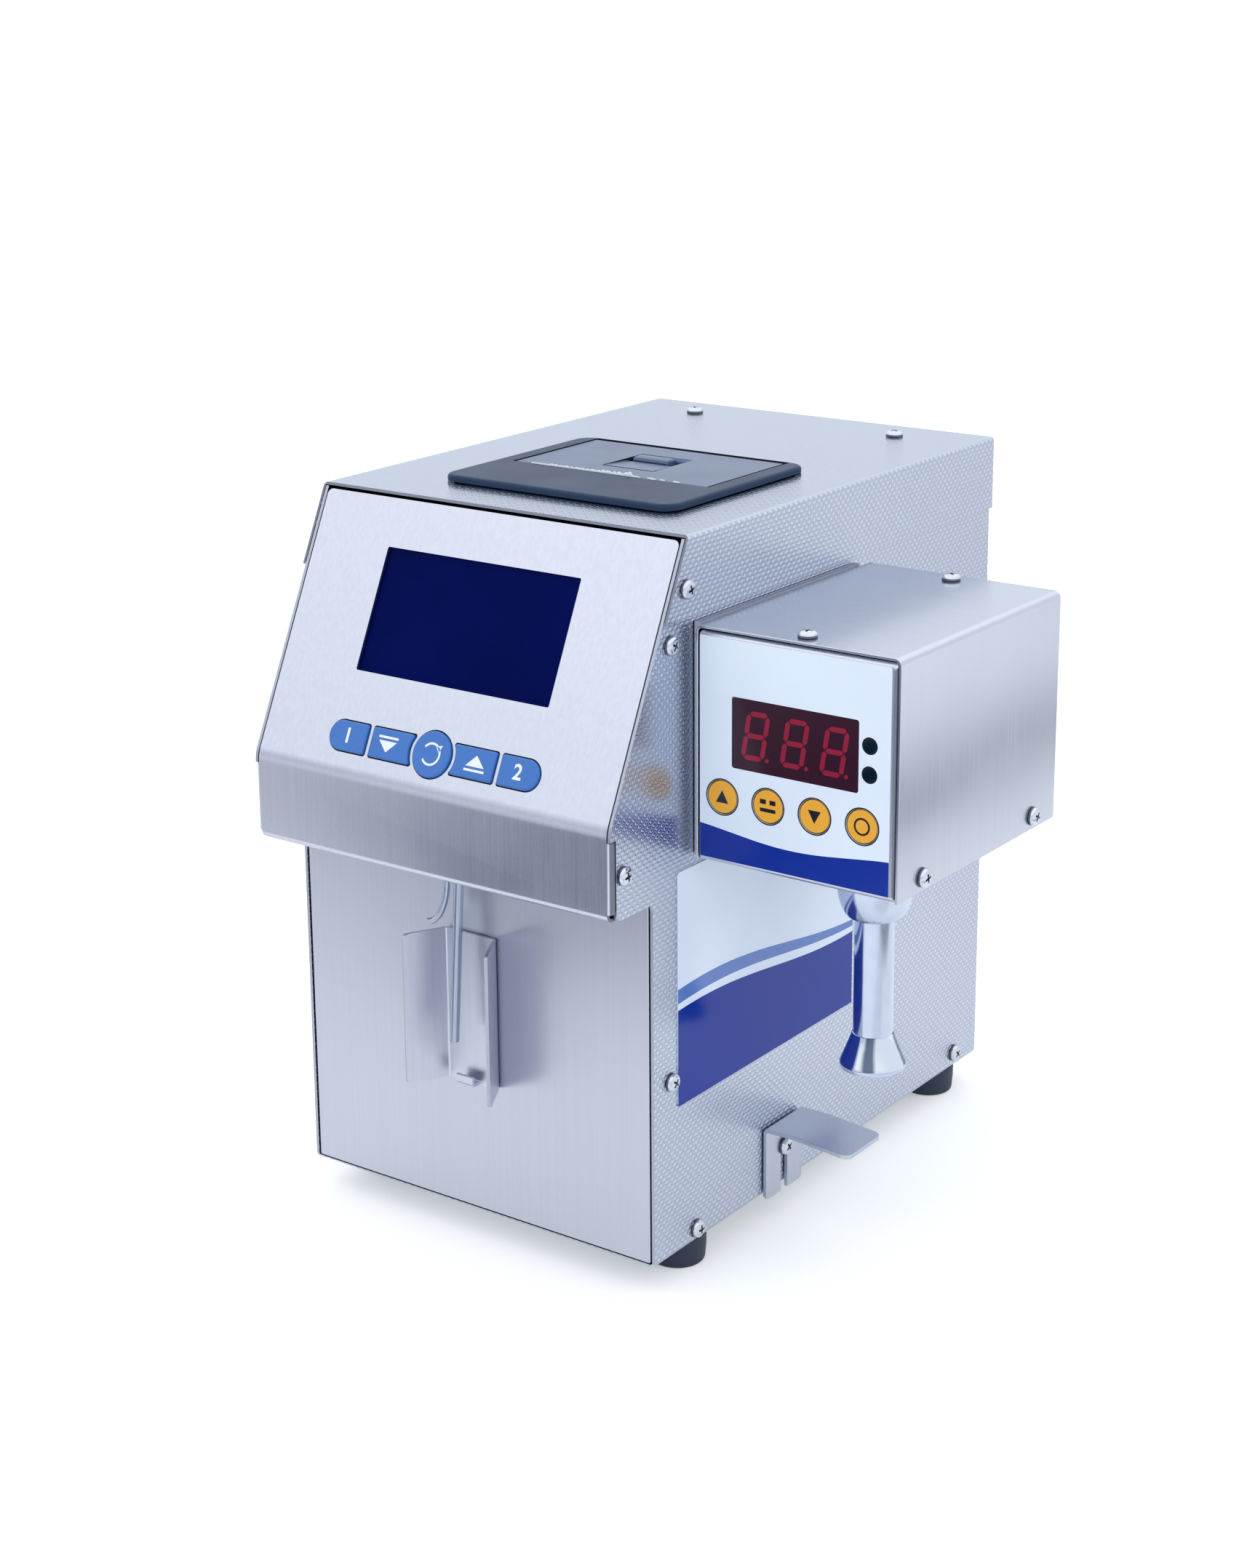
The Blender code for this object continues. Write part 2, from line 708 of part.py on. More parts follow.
def add_top_cover():
    """The lid sheet: its top, two side skirts and a rear skirt, open along the slope."""
    outline = [
        (slope_y(SKIRT_BOTTOM), SKIRT_BOTTOM),
        (BODY_DEPTH, SKIRT_BOTTOM),
        (BODY_DEPTH, BODY_HEIGHT),
        (SLOPE_RUN, BODY_HEIGHT),
    ]
    block = plate("top_cover", [outline], BODY_WIDTH)

    def is_bend(a, b):
        on_top = min(a.y, b.y) > BODY_HEIGHT - MERGE
        at_rear = min(a.x, b.x) > BODY_DEPTH - MERGE
        across = abs(a.z - b.z) > MERGE
        along_slope = abs(a.x - b.x) > MERGE and not on_top
        return (on_top or at_rear) and not along_slope and not (across and not at_rear)

    soften(block, is_bend, COVER_BEND, 2)
    cover = show("top_cover", block, TEXTURED, (-COVER_HALF, 0, 0), IN_YZ)
    inside = box(
        "cover_inside",
        (-COVER_HALF + COVER_SHEET, -OVERRUN, SKIRT_BOTTOM - OVERRUN),
        (COVER_HALF - COVER_SHEET, BODY_DEPTH - COVER_SHEET, BODY_HEIGHT - COVER_SHEET),
    )
    cut(cover, inside)
    return cover


def add_head_panel():
    """The sloping panel, the band below it with its side flanges, the rolled lip and the underside."""
    length = SLOPE_LENGTH - COVER_FRONT_GAP
    along = Vector((math.sin(SLOPE_LEAN), math.cos(SLOPE_LEAN)))
    inward = Vector((math.cos(SLOPE_LEAN), -math.sin(SLOPE_LEAN)))
    knee = Vector((0, KNEE_HEIGHT))
    top = knee + along * length
    rear = HEAD_OVERHANG - GAP
    outline = [
        tuple(top),
        tuple(knee),
        (0, HEAD_BOTTOM),
        (rear, HEAD_BOTTOM),
        (rear, HEAD_BOTTOM + OVERRUN),
        tuple(top + inward * OVERRUN),
    ]
    solid = rounded(outline, [0, KNEE_BEND, LIP_BEND, 0, 0, 0], BEND_STEPS)
    block = plate("head_panel", [solid], 2 * WALL_HALF)

    def is_band_side(a, b):
        upright = max(a.x, b.x) < MERGE and abs(a.z - b.z) < MERGE
        return upright and abs(a.y - b.y) > KNEE_BEND

    soften(block, is_band_side, FLANGE_BEND, BEND_STEPS)
    panel = show("head_panel", block, BRUSHED, (-WALL_HALF, 0, 0), IN_YZ)

    far = SLOPE_RUN + 2 * OVERRUN
    inner_top = knee + along * (length + OVERRUN) + inward * SHEET
    inner_knee = (SHEET, KNEE_HEIGHT - SHEET * math.tan(SLOPE_LEAN / 2))
    cavity = [
        tuple(inner_top),
        inner_knee,
        (SHEET, HEAD_BOTTOM + SHEET),
        (far, HEAD_BOTTOM + SHEET),
        (far, inner_top.y),
    ]
    cavity = rounded(cavity, [0, KNEE_BEND - SHEET, LIP_BEND - SHEET, 0, 0], BEND_STEPS)
    inner_half = WALL_HALF - SHEET
    cut(panel, plate("head_cavity", [cavity], 2 * inner_half), (-inner_half, 0, 0), IN_YZ)

    low = HEAD_BOTTOM + LIP_BEND + GAP
    high = KNEE_HEIGHT - FLANGE_RELIEF - KNEE_BEND / 2
    beside = [
        (-OVERRUN, HEAD_BOTTOM - OVERRUN),
        (far, HEAD_BOTTOM - OVERRUN),
        (far, BODY_HEIGHT + OVERRUN),
        (-OVERRUN, BODY_HEIGHT + OVERRUN),
        (-OVERRUN, high),
        (FLANGE_DEPTH, high),
        (FLANGE_DEPTH, low),
        (-OVERRUN, low),
    ]
    for left in (-WALL_HALF - OVERRUN, PANEL_HALF):
        waste = plate("head_side", [beside], WALL_HALF + OVERRUN - PANEL_HALF)
        cut(panel, waste, (left, 0, 0), IN_YZ)
    window = box(
        "lcd_opening",
        (PANEL_CENTRE_X - LCD_WIDTH / 2, LCD_BOTTOM, -SHEET - OVERRUN),
        (PANEL_CENTRE_X + LCD_WIDTH / 2, LCD_BOTTOM + LCD_HEIGHT, OVERRUN),
    )
    cut(panel, window, parent=SLOPE)
    return panel


def add_display():
    """The window pane behind the sloping panel and the module behind the pane."""
    half_x = LCD_WIDTH / 2
    half_up = LCD_HEIGHT / 2
    middle = (PANEL_CENTRE_X, LCD_BOTTOM + half_up, 0)
    pane_top = -SHEET - GAP
    reach = LCD_PANE_MARGIN
    pane = box(
        "lcd_window",
        (-half_x - reach, -half_up - reach, pane_top - LCD_PANE),
        (half_x + reach, half_up + reach, pane_top),
    )
    show("lcd_window", pane, NAVY, middle, parent=SLOPE)
    frame_top = pane_top - LCD_PANE - GAP
    frame_bottom = frame_top - LCD_FRAME_DEPTH
    frame = box(
        "lcd_module",
        (-half_x - LCD_FRAME_MARGIN, -half_up - LCD_FRAME_MARGIN, frame_bottom),
        (half_x + LCD_FRAME_MARGIN, half_up + LCD_FRAME_MARGIN, frame_top),
    )
    module = show("lcd_module", frame, BLACK, middle, parent=SLOPE)
    board = box(
        "lcd_board",
        (-half_x - LCD_BOARD_MARGIN_X, -half_up - LCD_BOARD_MARGIN_UP, frame_bottom - BOARD),
        (half_x + LCD_BOARD_MARGIN_X, half_up + LCD_BOARD_MARGIN_UP, frame_bottom + SEAT_GAP),
    )
    join(module, board, middle, parent=SLOPE)


def round_key_outline(grow):
    return circle(0, 0, ROUND_KEY_RADIUS + grow, 3 * KEY_ARC_STEPS)


def arrow_key_outline(side, grow):
    """A key whose inner end is hollowed to stand round the round key."""
    hollow = ROUND_KEY_RADIUS + ROUND_KEY_MARGIN
    outer = hollow + ARROW_KEY_LENGTH + grow
    half = KEY_HEIGHT / 2 + grow
    radius = hollow - grow
    spread = math.asin(half / radius)
    corner = KEY_CORNER + grow
    outer_end = rounded(
        [(radius, half), (outer, half), (outer, -half), (radius, -half)],
        [0, corner, corner, 0],
        CORNER_STEPS,
    )[1:-1]
    turns = [-spread + 2 * spread * k / KEY_ARC_STEPS for k in range(KEY_ARC_STEPS + 1)]
    inner_end = [(radius * math.cos(turn), radius * math.sin(turn)) for turn in turns]
    return [(side * x, y) for x, y in outer_end + inner_end]


def end_key_outline(side, grow):
    """A key with a straight inner end and a round outer end."""
    inner = ROUND_KEY_RADIUS + ROUND_KEY_MARGIN + ARROW_KEY_LENGTH + KEY_WEB
    outer = inner + END_KEY_LENGTH
    half = KEY_HEIGHT / 2 + grow
    corner = KEY_CORNER + grow
    points = rounded(
        [(outer, -half), (inner - grow, -half), (inner - grow, half), (outer, half)],
        [0, corner, corner, 0],
        CORNER_STEPS,
    )[1:-1]
    centre = outer - KEY_HEIGHT / 2
    turns = [math.pi / 2 - math.pi * k / KEY_ARC_STEPS for k in range(KEY_ARC_STEPS + 1)]
    end = [(centre + half * math.cos(turn), half * math.sin(turn)) for turn in turns]
    return [(side * x, y) for x, y in points + end]


def add_key(name, outline_of, middle_x, panel):
    """One key, its origin on its travel axis at the panel's face, and its opening in the panel."""
    row = (PANEL_CENTRE_X, KEY_ROW_UP)
    own = [(x - middle_x, y) for x, y in outline_of(0)]
    mesh = plate(name, [own], KEY_PROUD + KEY_DEPTH)
    soften_top(mesh, KEY_CROWN, 2)
    for vertex in mesh.vertices:
        vertex.co.z -= KEY_DEPTH
    key = show(name, mesh, BLUE, (row[0] + middle_x, row[1], 0), parent=SLOPE)
    smooth(key)
    opening = plate(name + "_opening", [outline_of(GAP)], SHEET + 2 * OVERRUN)
    cut(panel, opening, (*row, -SHEET - OVERRUN), parent=SLOPE)


def key_middles():
    """The middle of each key along the row, by name."""
    arrow = ROUND_KEY_RADIUS + ROUND_KEY_MARGIN + ARROW_KEY_LENGTH / 2
    end = arrow + ARROW_KEY_LENGTH / 2 + KEY_WEB + END_KEY_LENGTH / 2
    return {
        "key_left_end": -end,
        "key_down": -arrow,
        "key_enter": 0,
        "key_up": arrow,
        "key_right_end": end,
    }


def add_keys(panel):
    middles = key_middles()
    add_key("key_enter", round_key_outline, middles["key_enter"], panel)
    add_key("key_down", lambda g: arrow_key_outline(-1, g), middles["key_down"], panel)
    add_key("key_up", lambda g: arrow_key_outline(1, g), middles["key_up"], panel)
    add_key("key_left_end", lambda g: end_key_outline(-1, g), middles["key_left_end"], panel)
    add_key("key_right_end", lambda g: end_key_outline(1, g), middles["key_right_end"], panel)


def add_keypad_board():
    """The board behind the keys, with a switch under each and a post to the panel at each end."""
    end = max(key_middles().values()) + END_KEY_LENGTH / 2
    half_x = end + KEYPAD_MARGIN_X
    half_up = ROUND_KEY_RADIUS + KEYPAD_MARGIN_UP
    switch_top = -KEY_DEPTH - KEY_TRAVEL - GAP
    board_top = switch_top - SWITCH_SIDE / 2
    middle = (PANEL_CENTRE_X, KEY_ROW_UP, 0)
    sheet = box(
        "keypad_board", (-half_x, -half_up, board_top - BOARD), (half_x, half_up, board_top)
    )
    board = show("keypad_board", sheet, CIRCUIT, middle, parent=SLOPE)
    for x in key_middles().values():
        switch = box(
            "key_switch",
            (x - SWITCH_SIDE / 2, -SWITCH_SIDE / 2, board_top - BOARD / 2),
            (x + SWITCH_SIDE / 2, SWITCH_SIDE / 2, switch_top),
        )
        join(board, switch, middle, parent=SLOPE)
    for side in (-1, 1):
        post = rod("keypad_post", POST_RADIUS, board_top - BOARD / 2, -SHEET - GAP)
        x = PANEL_CENTRE_X + side * (half_x - POST_RADIUS - GAP)
        join(board, post, (x, KEY_ROW_UP, 0), parent=SLOPE)


def intake_place(height):
    """The intake pipe's axis at a height: it leans forward as it goes down."""
    share = (INTAKE_TOP - height) / (INTAKE_TOP - INTAKE_END)
    return (0, INTAKE_Y - INTAKE_LEAN * share, height)


def add_pipes(panel):
    """The intake pipe with its open end, and the rinse pipe that curves aside."""
    top = intake_place(INTAKE_TOP)
    end = intake_place(INTAKE_END)
    pipe_mesh = tube("intake_pipe", [top, end], INTAKE_RADIUS)
    pipe = show("intake_pipe", pipe_mesh, CHROME)
    smooth(pipe)
    below = intake_place(INTAKE_END - OVERRUN)
    bore_top = intake_place(INTAKE_END + INTAKE_BORE_DEPTH)
    cut(pipe, tube("intake_bore", [bore_top, below], INTAKE_BORE))
    hole_top = intake_place(HEAD_BOTTOM + SHEET + OVERRUN)
    hole_end = intake_place(HEAD_BOTTOM - OVERRUN)
    cut(panel, tube("intake_hole", [hole_top, hole_end], INTAKE_RADIUS + GAP))

    points = [(RINSE_X, RINSE_Y, HEAD_BOTTOM + RINSE_RISE)]
    bend_top = HEAD_BOTTOM - (RINSE_DROP - RINSE_BEND_START) / 2
    length = RINSE_DROP - (HEAD_BOTTOM - bend_top)
    for k in range(RINSE_POINTS):
        share = k / (RINSE_POINTS - 1)
        aside = 1 - math.cos(share * math.pi / 2)
        down = math.sin(share * math.pi / 2)
        points.append(
            (
                RINSE_X - RINSE_SWING_X * aside,
                RINSE_Y - RINSE_SWING_Y * aside,
                bend_top - length * down,
            )
        )
    smooth(show("rinse_pipe", tube("rinse_pipe", points, RINSE_RADIUS), CHROME))
    hole = rod("rinse_hole", RINSE_RADIUS + GAP, -OVERRUN, SHEET + OVERRUN)
    cut(panel, hole, (RINSE_X, RINSE_Y, HEAD_BOTTOM))


def add_cup_bracket():
    """A bent plate on the lower front that steadies the sample cup, with a small hooked tab."""
    back = HEAD_OVERHANG - GAP
    tip_y = back - BRACKET_REACH
    tip_x = BRACKET_HALF + BRACKET_SPLAY
    points = [(tip_x, tip_y), (BRACKET_HALF, back), (-BRACKET_HALF, back), (-tip_x, tip_y)]
    profile = bent_sheet(points, SHEET, [0, BRACKET_BEND, BRACKET_BEND, 0])
    mesh = plate("cup_bracket", [profile], BRACKET_HEIGHT)

    def is_wing_corner(a, b):
        level = abs(a.z - b.z) < MERGE
        return level and max(a.y, b.y) < tip_y + SHEET

    soften(mesh, is_wing_corner, BRACKET_CORNER, 3)
    bracket = show("cup_bracket", mesh, BRUSHED, (0, 0, BRACKET_BOTTOM))
    hook = [
        (back - TAB_REACH, BRACKET_BOTTOM + TAB_RISE),
        (back - TAB_REACH, BRACKET_BOTTOM),
        (back, BRACKET_BOTTOM),
        (back, BRACKET_BOTTOM + TAB_RISE),
    ]
    tab_profile = bent_sheet(hook, SHEET, [0, BRACKET_BEND, BRACKET_BEND, 0])
    tab = plate("bracket_tab", [tab_profile], TAB_WIDTH)
    join(bracket, tab, (TAB_X - TAB_WIDTH / 2, 0, 0), IN_YZ)


def add_feet():
    profile = [
        (0, FOOT_HEIGHT - GAP),
        (FOOT_RADIUS, FOOT_HEIGHT - GAP),
        (FOOT_TIP_RADIUS, FOOT_CROWN),
        (FOOT_TIP_RADIUS - FOOT_CROWN, 0),
        (0, 0),
    ]
    x = COVER_HALF - FOOT_INSET_X
    for side, side_name in ((-1, "left"), (1, "right")):
        for y, end_name in ((FOOT_FRONT_Y, "front"), (BODY_DEPTH - FOOT_REAR_INSET, "rear")):
            name = "foot_" + end_name + "_" + side_name
            smooth(turned(name, profile, ROUND_SIDES, RUBBER, (side * x, y, 0)))


def add_side_label():
    front = LABEL_SCREW_Y + SCREW_HEAD_RADIUS + GAP
    low = (WALL_HALF + LABEL_GAP, front, LABEL_BOTTOM)
    high = (WALL_HALF + LABEL_GAP + LABEL_SHEET, LABEL_REAR, STIRRER_BOTTOM - LABEL_DROP)
    show("side_label", box("side_label", low, high), WHITE)


def add_wall_screws(shell, cover):
    """The screws on the right wall, and the two in the rear of the cover's top."""
    for name, y, z in (
        ("screw_side_upper", UPPER_SCREW_Y, BODY_HEIGHT - UPPER_SCREW_DROP),
        ("screw_side_head", HEAD_SCREW_Y, HEAD_BOTTOM + HEAD_SCREW_RISE),
        ("screw_side_label", LABEL_SCREW_Y, LABEL_BOTTOM + LABEL_SCREW_RISE),
        ("screw_side_front_low", FRONT_LOW_SCREW_Y, FRONT_LOW_SCREW_HEIGHT),
        ("screw_side_rear_low", BODY_DEPTH - REAR_LOW_SCREW_INSET, REAR_LOW_SCREW_HEIGHT),
    ):
        add_screw(name, (WALL_HALF, y, z), TO_RIGHT, [shell])
    place = (COVER_HALF, COVER_SCREW_Y, BODY_HEIGHT - COVER_SCREW_DROP)
    add_screw("screw_side_cover", place, TO_RIGHT, [cover, shell])
    for side, side_name in ((-1, "left"), (1, "right")):
        place = (side * TOP_SCREW_X, BODY_DEPTH - TOP_SCREW_INSET, BODY_HEIGHT)
        add_screw("screw_top_" + side_name, place, (0, 0, 0), [cover])


def add_cup_shelf(shell):
    """The slotted plate on the right wall whose top is bent out into a tongue."""
    wall = WALL_HALF + GAP
    points = [
        (wall + SHELF_REACH, SHELF_TOP - SHELF_DROOP),
        (wall + SHELF_FLAT, SHELF_TOP),
        (wall, SHELF_TOP),
        (wall, SHELF_BOTTOM),
    ]
    profile = bent_sheet(points, SHELF_SHEET, [0, SHELF_FLAT, SHELF_BEND, 0])
    mesh = plate("cup_shelf", [profile], SHELF_WIDTH)

    def is_corner(a, b):
        within = abs(a.z - b.z) < MERGE
        at_tip = min(a.x, b.x) > wall + SHELF_REACH - SHELF_SHEET
        at_foot = max(a.y, b.y) < SHELF_BOTTOM + MERGE
        return within and (at_tip or at_foot)

    soften(mesh, is_corner, SHELF_CORNER, 3)
    rear = SHELF_Y + SHELF_WIDTH / 2
    shelf = show("cup_shelf", mesh, BRUSHED, (0, rear, 0), IN_XZ)
    slot_top = SHELF_SCREW_HEIGHT + SHELF_SLOT / 2
    drop = slot_top - SHELF_BOTTOM + OVERRUN
    half = SHELF_SLOT / 2
    slot = [
        (-half, half - drop),
        (half, half - drop),
        (half, half),
        (-half, half),
    ]
    cutter = plate(
        "shelf_slot", [rounded(slot, [0, 0, half, half], CORNER_STEPS)], SHELF_SHEET + 2 * OVERRUN
    )
    cut(shelf, cutter, (wall - OVERRUN, SHELF_Y, SHELF_SCREW_HEIGHT), IN_YZ)
    seat = (wall + SHELF_SHEET, SHELF_Y, SHELF_SCREW_HEIGHT)
    add_screw("shelf_screw", seat, TO_RIGHT, [shell])


def add_printer(cover):
    """The paper printer: its moulded body, lid, latch, rubber roller and paper roll."""
    add_printer_body(cover)
    add_printer_lid()
    add_latch()
    add_roller_and_paper()


def lid_span():
    """The lid's front edge, its hinge axis and its rear edge."""
    rear = PRINTER_REAR_Y - LID_REAR_MARGIN - GAP
    return rear - LID_DEPTH, rear - LID_SHEET / 2, rear


def add_printer_body(cover):
    half = BEZEL_WIDTH / 2
    bezel = plate(
        "printer_body", [rectangle(-half, half, 0, BEZEL_DEPTH, BEZEL_CORNER)], BEZEL_SHEET
    )
    soften_top(bezel, BEZEL_CROWN, 2)
    body = show("printer_body", bezel, SLATE, (PRINTER_X, PRINTER_FRONT_Y, BEZEL_BOTTOM))
    left = PRINTER_X - half + BUCKET_INSET_X
    right = PRINTER_X + half - BUCKET_INSET_X
    front = PRINTER_FRONT_Y + BUCKET_INSET_Y
    rear = PRINTER_REAR_Y - BUCKET_INSET_Y
    bottom = BODY_HEIGHT - BUCKET_DEPTH
    bucket = box("printer_bucket", (left, front, bottom), (right, rear, BEZEL_TOP - BEZEL_CROWN))
    join(body, bucket)
    opening = box(
        "printer_opening",
        (left - GAP, front - GAP, BODY_HEIGHT - COVER_SHEET - OVERRUN),
        (right + GAP, rear + GAP, BODY_HEIGHT + OVERRUN),
    )
    cut(cover, opening)
    lid_front, hinge, lid_rear = lid_span()
    slot_front = lid_front - PAPER_SLOT
    lid_half = LID_WIDTH / 2 + GAP
    seat = box(
        "lid_seat",
        (PRINTER_X - lid_half, slot_front, BEZEL_TOP - LID_SHEET - GAP),
        (PRINTER_X + lid_half, lid_rear + GAP, BEZEL_TOP + OVERRUN),
    )
    cut(body, seat)
    room = box(
        "paper_room",
        (PRINTER_X - lid_half + LID_LEDGE, slot_front, bottom + BUCKET_WALL),
        (PRINTER_X + lid_half - LID_LEDGE, rear - BUCKET_WALL, BEZEL_TOP + OVERRUN),
    )
    cut(body, room)
    for side in (-1, 1):
        wall = PRINTER_X + side * (lid_half - LID_LEDGE)
        spindle_y, spindle_z = paper_place()
        inner = paper_end() - GAP - SPINDLE_RADIUS / 2
        length = abs(wall - PRINTER_X) - inner + BUCKET_WALL / 2
        turn = TO_RIGHT if side > 0 else (0, -math.pi / 2, 0)
        peg = rod("paper_peg", SPINDLE_RADIUS, 0, length)
        join(body, peg, (PRINTER_X + side * inner, spindle_y, spindle_z), turn)


def paper_end():
    return PAPER_WIDTH / 2


def paper_place():
    """The paper roll's axis, as its distance back and its height."""
    return lid_span()[0] + PAPER_BACK, BEZEL_TOP - PAPER_DROP


def roller_place():
    """The rubber roller's axis, which the lid carries under its front edge."""
    return lid_span()[0] + ROLLER_BACK, BEZEL_TOP - LID_SHEET - ROLLER_DROP


def latch_box():
    """The recess for the latch: its left, right, front and rear edges."""
    middle = PRINTER_X + LATCH_SHIFT_X
    front = lid_span()[0] + LATCH_RECESS_FRONT
    half = LATCH_RECESS_WIDTH / 2
    return middle - half, middle + half, front, front + LATCH_RECESS_DEPTH_Y


def add_printer_lid():
    """The lid, its origin on its hinge axis, with a scooped recess and two arms for the roller."""
    front, hinge, rear = lid_span()
    radius = LID_SHEET / 2
    pivot = (PRINTER_X, hinge, BEZEL_TOP - radius)
    turns = [-math.pi / 2 + math.pi * k / KEY_ARC_STEPS for k in range(KEY_ARC_STEPS + 1)]
    barrel = [(radius * math.cos(turn), radius * math.sin(turn)) for turn in turns]
    profile = [(front - hinge, -radius), *barrel, (front - hinge, radius)]
    mesh = plate("printer_lid", [profile], LID_WIDTH)
    for vertex in mesh.vertices:
        x, y, z = vertex.co
        vertex.co = (z - LID_WIDTH / 2, x, y)
    lid = show("printer_lid", mesh, SLATE, pivot)
    left, right, near, far = latch_box()
    wall = LATCH_BOSS_WALL
    boss = box(
        "latch_boss",
        (left - wall, near - wall, BEZEL_TOP - LATCH_RECESS_DROP - wall),
        (right + wall, far + wall, BEZEL_TOP - radius),
    )
    join(lid, boss)
    scoop = [
        (near, BEZEL_TOP - LATCH_RECESS_SHALLOW),
        (far, BEZEL_TOP - LATCH_RECESS_DROP),
        (far, BEZEL_TOP + OVERRUN),
        (near, BEZEL_TOP + OVERRUN),
    ]
    cut(lid, plate("latch_scoop", [scoop], LATCH_RECESS_WIDTH), (left, 0, 0), IN_YZ)
    pin_y, pin_z = latch_pin()
    bore_radius = LATCH_PIN_RADIUS + GAP
    bore_half = LATCH_RECESS_WIDTH / 2 + LATCH_BOSS_WALL / 2 + GAP
    bore = rod("latch_bore", bore_radius, -bore_half, bore_half)
    cut(lid, bore, ((left + right) / 2, pin_y, pin_z), TO_RIGHT)
    y, z = roller_place()
    for side in (-1, 1):
        inner = side * (paper_end() + 2 * GAP)
        outer = inner + side * ROLLER_ARM
        low_x = PRINTER_X + min(inner, outer)
        high_x = PRINTER_X + max(inner, outer)
        arm = box(
            "roller_arm",
            (low_x, y - ROLLER_ARM_HALF, z - ROLLER_ARM_HALF),
            (high_x, y + ROLLER_ARM_HALF, BEZEL_TOP - radius),
        )
        join(lid, arm)
        hole = rod("axle_hole", ROLLER_AXLE_RADIUS + GAP, -OVERRUN, ROLLER_ARM + OVERRUN)
        cut(lid, hole, (low_x, y, z), TO_RIGHT)


def latch_pin():
    """The latch's pivot, near the rear edge of its recess."""
    far = latch_box()[3]
    return far - GAP - LATCH_BAR_SHEET / 2, BEZEL_TOP - GAP - LATCH_BAR_SHEET / 2


def add_latch():
    """The finger bar in the lid's recess, its origin on its pivot, with a pin at each end."""
    left, right, near, far = latch_box()
    pin_y, pin_z = latch_pin()
    radius = LATCH_BAR_SHEET / 2
    half = LATCH_RECESS_WIDTH / 2 - GAP
    turns = [-math.pi / 2 + math.pi * k / KEY_ARC_STEPS for k in range(KEY_ARC_STEPS + 1)]
    barrel = [(radius * math.cos(turn), radius * math.sin(turn)) for turn in turns]
    reach = LATCH_BAR_DEPTH_Y - radius
    mesh = plate("printer_latch", [[(-reach, -radius), *barrel, (-reach, radius)]], 2 * half)
    for vertex in mesh.vertices:
        x, y, z = vertex.co
        vertex.co = (z - half, x, y)
    middle = ((left + right) / 2, pin_y, pin_z)
    latch = show("printer_latch", mesh, BLACK, middle)
    pin_half = half + LATCH_BOSS_WALL / 2
    join(latch, rod("latch_pin", LATCH_PIN_RADIUS, -pin_half, pin_half), middle, TO_RIGHT)


def add_roller_and_paper():
    y, z = roller_place()
    half = paper_end()
    end = half + 2 * GAP + ROLLER_ARM
    neck = ROLLER_AXLE_RADIUS
    profile = [(0, end), (neck, end), (neck, half), (ROLLER_RADIUS, half)]
    profile += [(radius, -height) for radius, height in reversed(profile)]
    smooth(turned("platen_roller", profile, SCREW_SIDES, RUBBER, (PRINTER_X, y, z), TO_RIGHT))
    y, z = paper_place()
    core = PAPER_CORE_RADIUS
    profile = [
        (core, half),
        (PAPER_RADIUS, half),
        (PAPER_RADIUS, -half),
        (core, -half),
        (core, half),
    ]
    smooth(turned("paper_roll", profile, ROUND_SIDES, PAPER, (PRINTER_X, y, z), TO_RIGHT))


def add_pump():
    """The hose pump behind the lower front panel: its block, its motor and its three-roller rotor."""
    front = FRONT_INSIDE + WORKS_FRONT_SPACE
    rear = front + PUMP_DEPTH
    low = FLOOR + GAP
    height = low + PUMP_HEIGHT / 2
    block = box(
        "pump_housing",
        (PUMP_X - PUMP_WIDTH / 2, front, low),
        (PUMP_X + PUMP_WIDTH / 2, rear, low + PUMP_HEIGHT),
    )
    housing = show("pump_housing", block, BLACK)
    reach = ROLLER_PITCH_RADIUS + PUMP_ROLLER_RADIUS + 2 * GAP
    race = rod("pump_race", reach, -OVERRUN, PUMP_DEPTH - PUMP_WALL, ROUND_SIDES)
    cut(housing, race, (PUMP_X, front, height), TO_REAR)
    hole = rod("pump_shaft_hole", SHAFT_RADIUS + GAP, 0, PUMP_DEPTH + OVERRUN)
    cut(housing, hole, (PUMP_X, front, height), TO_REAR)

    rotor_rear = rear - PUMP_WALL - 2 * GAP
    rotor_front = rotor_rear - ROTOR_THICKNESS
    disc = rod("pump_rotor", ROTOR_RADIUS, 0, ROTOR_THICKNESS, ROUND_SIDES)
    rotor = show("pump_rotor", disc, ALUMINIUM, (PUMP_X, rotor_front, height), TO_REAR)
    for k in range(PUMP_ROLLER_COUNT):
        turn = 2 * math.pi * k / PUMP_ROLLER_COUNT
        x = PUMP_X + ROLLER_PITCH_RADIUS * math.sin(turn)
        z = height + ROLLER_PITCH_RADIUS * math.cos(turn)
        roller = rod("pump_roller", PUMP_ROLLER_RADIUS, GAP, ROTOR_THICKNESS - GAP)
        join(rotor, roller, (x, rotor_front, z), TO_REAR)
    motor_front = rear + GAP
    shaft_end = motor_front + SHAFT_GRIP
    shaft = rod("pump_shaft", SHAFT_RADIUS, ROTOR_THICKNESS / 2, shaft_end - rotor_front)
    join(rotor, shaft, (PUMP_X, rotor_front, height), TO_REAR)

    can = rod("pump_motor", MOTOR_RADIUS, 0, MOTOR_LENGTH, ROUND_SIDES)
    motor = show("pump_motor", can, BRUSHED, (PUMP_X, motor_front, height), TO_REAR)
    socket = rod("motor_socket", SHAFT_RADIUS + GAP, -OVERRUN, SHAFT_GRIP + GAP)
    cut(motor, socket, (PUMP_X, motor_front, height), TO_REAR)


